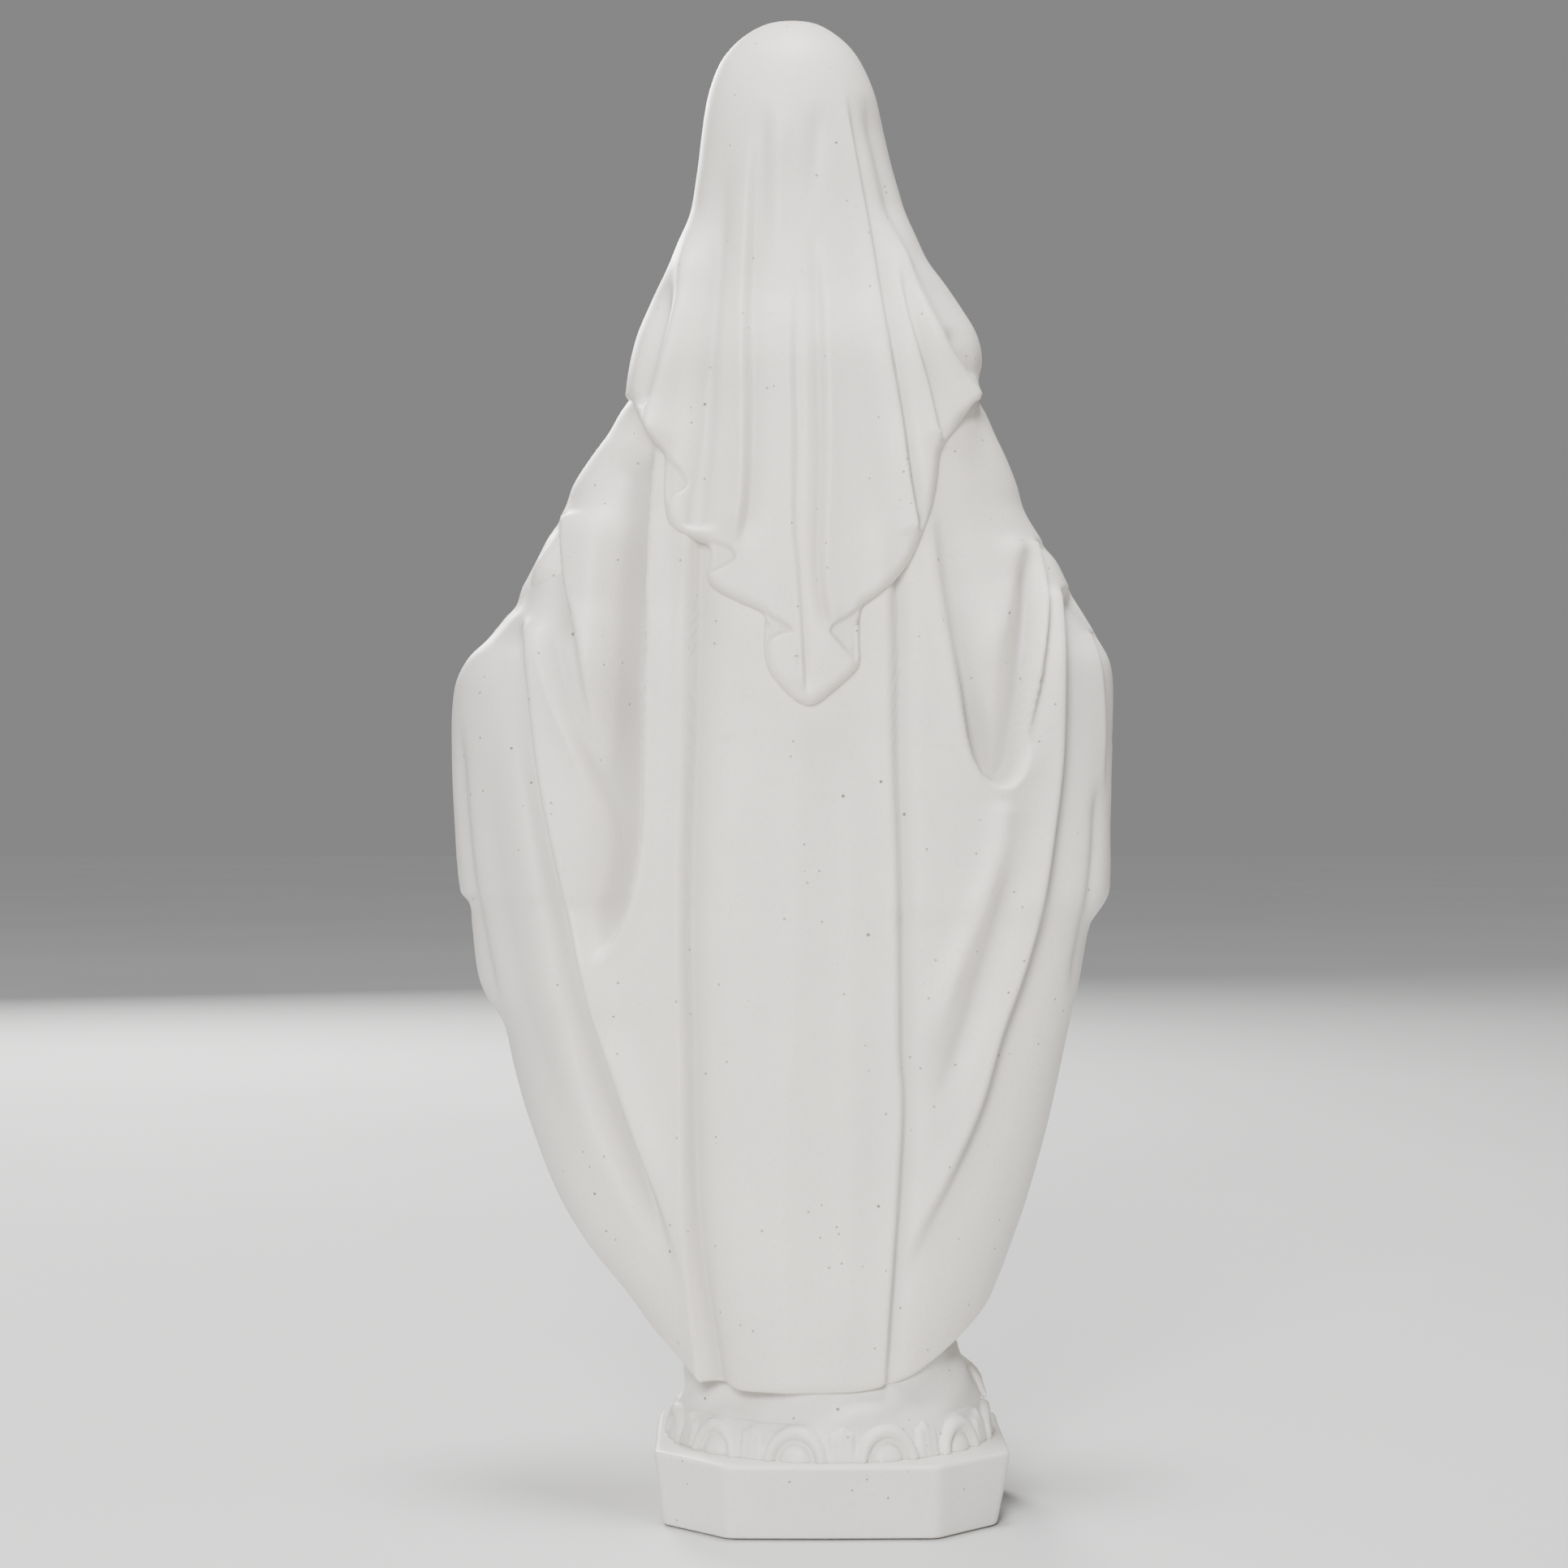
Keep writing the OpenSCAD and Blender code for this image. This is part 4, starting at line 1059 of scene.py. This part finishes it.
def head_shape(p):
    q = head_space(p)
    m = (np.abs(q[0]), q[1], q[2])
    body = egg(q, (0, 1.0, 3.2), (11.6, 14.2, 13.6))
    face = egg(q, (0, -3.6, -3.4), (9.3, 10.2, 13.0))
    body = meld(body, face, 3.0)
    body = meld(body, egg(q, (0, -8.3, -13.2), (4.3, 4.2, 3.2)), 3.4)
    body = meld(body, egg(m, (5.0, -8.6, -4.8), (3.4, 3.2, 3.6)), 2.6)
    body = meld(body, limb(m, (1.6, -13.0, 3.2), (6.4, -11.0, 3.0), 0.9, 0.7), 1.8)
    body = cut(body, egg(m, (4.1, -14.7, 0.1), (2.9, 2.6, 1.9)), 1.5)
    eye = ball(m, (4.1, -10.75, 0.1), 2.25)
    body = meld(body, eye, 0.35)
    lid = np.maximum(ball(m, (4.1, -10.75, 0.1), 2.55), -(m[2] + 0.45 - 0.10 * (m[0] - 4.1) ** 2))
    body = meld(body, lid, 0.3)
    low = np.maximum(ball(m, (4.1, -10.7, -0.2), 2.42), m[2] + 1.35 - 0.12 * (m[0] - 4.1) ** 2)
    body = meld(body, low, 0.3)
    nose = limb(q, (0, -12.9, 2.0), (0, -15.6, -4.7), 0.95, 1.25)
    nose = meld(nose, ball(q, (0, -15.5, -5.1), 1.2), 0.6)
    nose = meld(nose, ball(m, (1.45, -14.0, -5.5), 0.92), 0.7)
    body = meld(body, nose, 1.1)
    body = cut(body, ball(m, (0.75, -15.0, -6.5), 0.42), 0.35)
    body = meld(body, egg(q, (0, -12.5, -9.2), (3.4, 1.7, 2.6)), 1.6)
    body = meld(body, egg(m, (0.95, -13.75, -8.35), (1.7, 0.85, 0.62)), 0.5)
    body = meld(body, egg(q, (0, -13.65, -9.75), (1.9, 0.9, 0.72)), 0.5)
    body = cut(body, egg(q, (0, -14.7, -9.03), (2.7, 1.0, 0.13)), 0.3)
    body = cut(body, ball(m, (2.95, -13.6, -9.0), 0.35), 0.5)
    body = meld(body, ball(q, (0, -11.7, -13.3), 2.05), 1.8)
    neck = limb(p, (HEAD[0], 0.5, 272.0), (HEAD[0], 0.5, 243.0), 6.0, 6.8)
    body = meld(body, neck, 2.6)
    for side in (1, -1):
        cord = limb(p, (HEAD[0] + side * 5.8, 0.5, 270), (HEAD[0] + side * 1.8, -5.6, 247), 1.3, 1.0)
        body = meld(body, cord, 1.8)
    return body


def hair_shape(p):
    q = head_space(p)
    m = (np.abs(q[0]), q[1], q[2])
    body = egg(q, (0, 1.4, 3.6), (12.4, 14.9, 14.3))
    body = cut(body, egg(q, (0, -14.0, -3.6), (9.2, 9.5, 13.6)), 1.5)
    for k in range(7):
        wave = 0.8 * math.sin(k * 1.9)
        path = [(0.5, -12.8 + 1.4 * k, 11.9 + 0.62 * k), (4.6, -13.2 + 1.7 * k, 10.2 + 0.62 * k),
                (8.6 + 0.1 * k, -10.4 + 1.7 * k, 5.6 + 0.2 * k + wave),
                (10.5 + 0.1 * k, -7.6 + 1.6 * k, -0.6 + wave),
                (11.0, -5.8 + 1.5 * k, -7.0 - wave), (10.2, -4.4 + 1.4 * k, -13.5 + wave),
                (9.0, -4.0 + 1.3 * k, -20.0 - wave), (8.8, -4.6 + 1.2 * k, -26.0),
                (10.4, -6.0 + 1.1 * k, -32.0)]
        line = flow(path, 3)
        radii = np.interp(np.linspace(0, 1, len(line)), [0, 0.2, 0.6, 0.9, 1], [0.75, 1.25, 1.6, 1.4, 0.8])
        lock = strand(m, line, radii)
        body = meld(body, lock, 0.35)
    return body


# ---------------------------------------------------------------- feet, serpent, mound and base

# each toe's place across the foot, its radius and how far it reaches
TOES = [(-3.4, 0.95, -8.0), (-1.75, 1.05, -9.0), (-0.1, 1.1, -9.6), (1.6, 1.15, -9.8), (3.55, 1.55, -9.6)]


def foot_shape(x, turn):
    ct, st = math.cos(math.radians(turn)), math.sin(math.radians(turn))

    def shape(p):
        u = (p[0] - x) * ct + (p[1] + 21) * st
        v = -(p[0] - x) * st + (p[1] + 21) * ct
        q = (u, v, p[2])
        body = egg(q, (0, 3, 39.6), (4.2, 9.0, 4.4))
        body = meld(body, egg(q, (0, -4.5, 38.2), (4.4, 4.6, 2.3)), 2.5)
        for a, r, reach in TOES:
            body = meld(body, limb(q, (a * 0.85, -5.4, 38.0), (a, reach, 37.2), r, r * 0.92), 0.45)
        return body

    return shape


SERPENT = [(-31.5, -4, 21.5), (-29.5, -14, 24.5), (-23, -22.5, 28), (-13, -27.5, 31.5), (-3, -29, 33.2),
           (8, -28.6, 33.2), (17, -26, 32.6), (24, -21.5, 32.2), (28.5, -17, 32.8)]


def serpent_shape(p):
    line = flow(SERPENT, 5)
    share = np.linspace(0, 1, len(line))
    radii = np.interp(share, [0, 0.3, 0.75, 0.93, 1], [0.7, 1.9, 2.7, 2.2, 1.9])
    body = strand(p, line, radii)
    head = egg(p, (29.0, -16.6, 33.4), (2.9, 3.6, 2.1))
    body = meld(body, head, 1.2)
    body = cut(body, egg(p, (31.2, -16.2, 32.9), (2.2, 3.4, 0.30)), 0.3)
    body = meld(body, ball(p, (28.9, -18.8, 35.0), 0.65), 0.2)
    body = meld(body, ball(p, (26.9, -15.0, 35.0), 0.65), 0.2)
    belly = 0.16 * np.sin((p[0] * 1.4 + p[1] * 0.5) * 1.6) * np.sin((p[2] * 1.6 + p[1] * 0.7) * 1.6)
    return body + belly


def mound_radius(turn, z):
    base = np.interp(z, [14, 19, 24, 28, 33, 37, 41, 43.5], [32.2, 31.2, 29.6, 28.4, 26.4, 23.6, 17.5, 4.0])
    rough = 0.5 * np.sin(turn * 3 + 0.6) + 0.6 * np.sin(turn * 5 + z * 0.3)
    rough = rough + 0.45 * np.sin(turn * 9 - z * 0.55)
    return base + rough * smooth(19, 25, z) * (1 - smooth(36, 42, z))


def build_mound():
    rows, cols = 90, 240
    turn = np.linspace(-PI, PI, cols, endpoint=False)[None]
    z = np.linspace(14.6, 43.5, rows)[:, None] + 0 * turn
    r = mound_radius(turn, z)
    p = np.stack([-r * np.sin(turn), r * np.cos(turn), z], -1).reshape(-1, 3)
    faces = [list(f) for f in grid_faces(rows, cols, 0, True)]
    top = len(p)
    p = np.concatenate([p, [[0, 0, 43.8]]])
    last = (rows - 1) * cols
    faces += [[last + i, last + (i + 1) % cols, top] for i in range(cols)]
    make("mound", p, faces, BASE)


def scallop_shape(p):
    """Double arches side by side round the foot of the mound, with fluted leaves between them."""
    turn = np.arctan2(-p[0], p[1])
    r = np.hypot(p[0], p[1])
    z = p[2]
    step = 2 * PI / 11
    phase = turn - math.radians(-12.8)
    which = np.round(phase / step)
    local = (phase - which * step) * 32.5
    wobble = 0.35 * np.sin(which * 2.4)
    z0 = 14.6
    wall = 32.4 - (z - 15) * 0.20
    body = np.maximum(np.maximum(r - wall + 0.7, z - 21.8 + wobble), 28.0 - r)
    d = np.hypot(local * 1.04, (z - z0) * 0.95)
    outer = np.hypot(d - 5.5 - wobble * 0.5, r - wall + 0.05) - 1.15
    inner = egg((local, r - wall + 0.35, z - z0), (0, 0, 0), (3.1, 1.2, 3.9))
    body = meld(body, outer, 0.8)
    body = meld(body, inner, 0.5)
    gapside = np.abs(local) - step * 32.5 / 2
    for shift, tall in ((0.0, 6.6), (-1.7, 5.6)):
        leaf = np.hypot(gapside - shift, r - wall + 0.30) - 0.75
        leaf = -meld(-leaf, tall + wobble + z0 - z, 0.8)
        body = meld(body, leaf, 1.0)
    body = np.maximum(body, 14.7 - z)
    return body


def soft_block(node, rings, slot):
    """A block lofted through closed outlines."""
    points = np.concatenate(rings)
    cols = len(rings[0])
    faces = [list(f) for f in grid_faces(len(rings), cols, 0, True)]
    low = len(points)
    points = np.concatenate([points, [rings[0].mean(0)], [rings[-1].mean(0)]])
    faces += [[(i + 1) % cols, i, low] for i in range(cols)]
    top = (len(rings) - 1) * cols
    faces += [[top + i, top + (i + 1) % cols, low + 1] for i in range(cols)]
    return make(node, points, faces, slot)


def octagon(half, flat, z, round_by):
    """A square with cut corners, its eight corners rounded, walked clockwise seen from above."""
    corners = np.array([(-flat, half), (flat, half), (half, flat), (half, -flat), (flat, -half),
                        (-flat, -half),
                        (-half, -flat), (-half, flat)], float)[::-1]
    out = []
    for i in range(8):
        before, here, after = corners[i - 1], corners[i], corners[(i + 1) % 8]
        a = here + unit(before - here) * round_by
        b = here + unit(after - here) * round_by
        for t in np.linspace(0, 1, 7):
            out.append((1 - t) ** 2 * a + 2 * t * (1 - t) * here + t * t * b)
        for t in np.linspace(0, 1, 14)[1:-1]:
            out.append(mix(b, after + unit(here - after) * round_by, t))
    out = np.array(out)
    return np.concatenate([out, np.full((len(out), 1), z)], 1)


def build_plinth():
    rings = []
    low, high = 0.35, 14.9
    for t in np.linspace(0, PI / 2, 6):
        rings.append(octagon(33.0 - 0.7 * (1 - math.sin(t)), 20.2, low + 0.7 * (1 - math.cos(t)), 1.6))
    for t in np.linspace(0, 1, 26)[1:-1]:
        rings.append(octagon(mix(33.0, 35.0, t), mix(20.2, 20.6, t), mix(low + 0.7, high - 0.9, t), 1.6))
    for t in np.linspace(0, PI / 2, 7):
        rings.append(octagon(35.0 - 1.1 * (1 - math.cos(t)), 20.6, high - 0.9 + 0.9 * math.sin(t), 1.6))
    rings.append(octagon(32.0, 18.8, high - 0.05, 1.4))
    rings = [r[::-1] for r in rings]
    for r in rings:
        r[:, 0] += 0.22 * np.sin(r[:, 1] * 0.11 + r[:, 2] * 0.2)
        r[:, 1] += 0.22 * np.sin(r[:, 0] * 0.13 + 1.0)
    soft_block("plinth", rings, BASE)


def build_felt():
    outlines = ((31.0, 19.0, 0.0), (31.3, 19.1, 0.25), (31.3, 19.1, 0.6), (31.0, 19.0, 0.85))
    rings = [octagon(half, flat, z, 1.5)[::-1] for half, flat, z in outlines]
    soft_block("base_felt", rings, "felt")


# ---------------------------------------------------------------- putting it together

build_mantle()
build_veil()
build_gown()
build_sash()
build_fall("left_mantle_fall", -1, 158.0, 74.0, 17.0, 3.2, 62.0)
build_fall("right_mantle_fall", 1, 154.0, 108.0, 15.0, 2.6, 34.0)
sculpt("left_sleeve", (14, -38, 132), (78, 16, 236), 0.62, sleeve_shape(-1), relax=2)
sculpt("right_sleeve", (-60, -38, 132), (0, 16, 236), 0.62, sleeve_shape(1), relax=2)
sculpt("left_hand", (54, -40, 126), (82, -10, 172), 0.32, hand_shape(-1))
sculpt("right_hand", (-64, -40, 126), (-36, -10, 172), 0.32, hand_shape(1))
sculpt("head", (-8, -22, 242), (22, 16, 299), 0.36, head_shape)
sculpt("hair", (-9, -20, 242), (23, 17, 300), 0.36, hair_shape)
sculpt("left_foot", (2, -36, 33), (18, -8, 48), 0.34, foot_shape(9.0, 12))
sculpt("right_foot", (-12, -36, 33), (5, -8, 48), 0.34, foot_shape(-3.0, -8))
sculpt("serpent", (-37, -34, 17), (36, 2, 39), 0.42, serpent_shape)
sculpt("scallop_border", (-36, -36, 14), (36, 36, 25), 0.42, scallop_shape, BASE, 7)
build_mound()
build_plinth()
build_felt()
for node in ("neck_pin", "left_wrist_pin", "right_wrist_pin", "tie_rod", "tie_washer", "tie_nut"):
    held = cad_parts[node]
    held.data.materials.clear()
    held.data.materials.append(LOOKS["steel"])


# ---------------------------------------------------------------- stage, light and camera

FLOOR_HALF = 6.0


def build_stage():
    b = Book("paper")
    b.set("Base Color", b.tint((0.60, 0.60, 0.60, 1), (0.57, 0.57, 0.57, 1), b.noise(3.0).above(0.3, 0.7)))
    b.set("Roughness", 0.9)
    # painted light: in the distance the flat paper glows a little, as if it turned up and caught the light of
    # the room
    far_glow = b.node("ShaderNodeVectorMath", dict(operation="LENGTH"), [b.place()], "Value").above(0.8, 2.2)
    b.set("Emission Color", b.tint((0, 0, 0, 1), (0.10, 0.10, 0.10, 1), far_glow))
    b.set("Emission Strength", 1.0)
    mesh = bpy.data.meshes.new("floor")
    corners = [(x * FLOOR_HALF, y * FLOOR_HALF, 0) for x, y in ((-1, -1), (1, -1), (1, 1), (-1, 1))]
    mesh.from_pydata(corners, [], [(0, 1, 2, 3)])
    floor = bpy.data.objects.new("floor", mesh)
    floor.data.materials.append(b.material)
    bpy.context.collection.objects.link(floor)


def lamp(name, place, aim, size, power, colour=(1, 1, 1)):
    """A round soft lamp."""
    data = bpy.data.lights.new(name, "AREA")
    data.shape = "DISK"
    data.size = size
    data.energy = power
    data.color = colour
    obj = bpy.data.objects.new(name, data)
    obj.location = place
    obj.rotation_euler = (Vector(aim) - Vector(place)).to_track_quat("-Z", "Y").to_euler()
    bpy.context.collection.objects.link(obj)


build_stage()
world = bpy.data.worlds.new("studio")
world.use_nodes = True
world.node_tree.nodes["Background"].inputs[0].default_value = (1.0, 1.0, 1.0, 1.0)
world.node_tree.nodes["Background"].inputs[1].default_value = 0.25
bpy.context.scene.world = world
lamp("top", (0.0, 0.12, 1.25), (0, 0, 0.2), 0.4, 19.0)
lamp("back_key", (0.25, 1.35, 0.72), (0, 0, 0.15), 0.45, 30.0, (1.0, 0.99, 0.97))
lamp("front_key", (0.45, -1.30, 0.72), (0, 0, 0.15), 0.45, 28.0, (1.0, 0.99, 0.97))

data = bpy.data.cameras.new("camera")
data.sensor_width = 36.0
data.lens = 76.0
camera = bpy.data.objects.new("camera", data)
camera.location = (0.0092, 0.670, 0.1457)
camera.rotation_euler = (math.radians(90), 0, math.radians(180))
bpy.context.collection.objects.link(camera)
bpy.context.scene.camera = camera

bpy.context.view_layer.update()
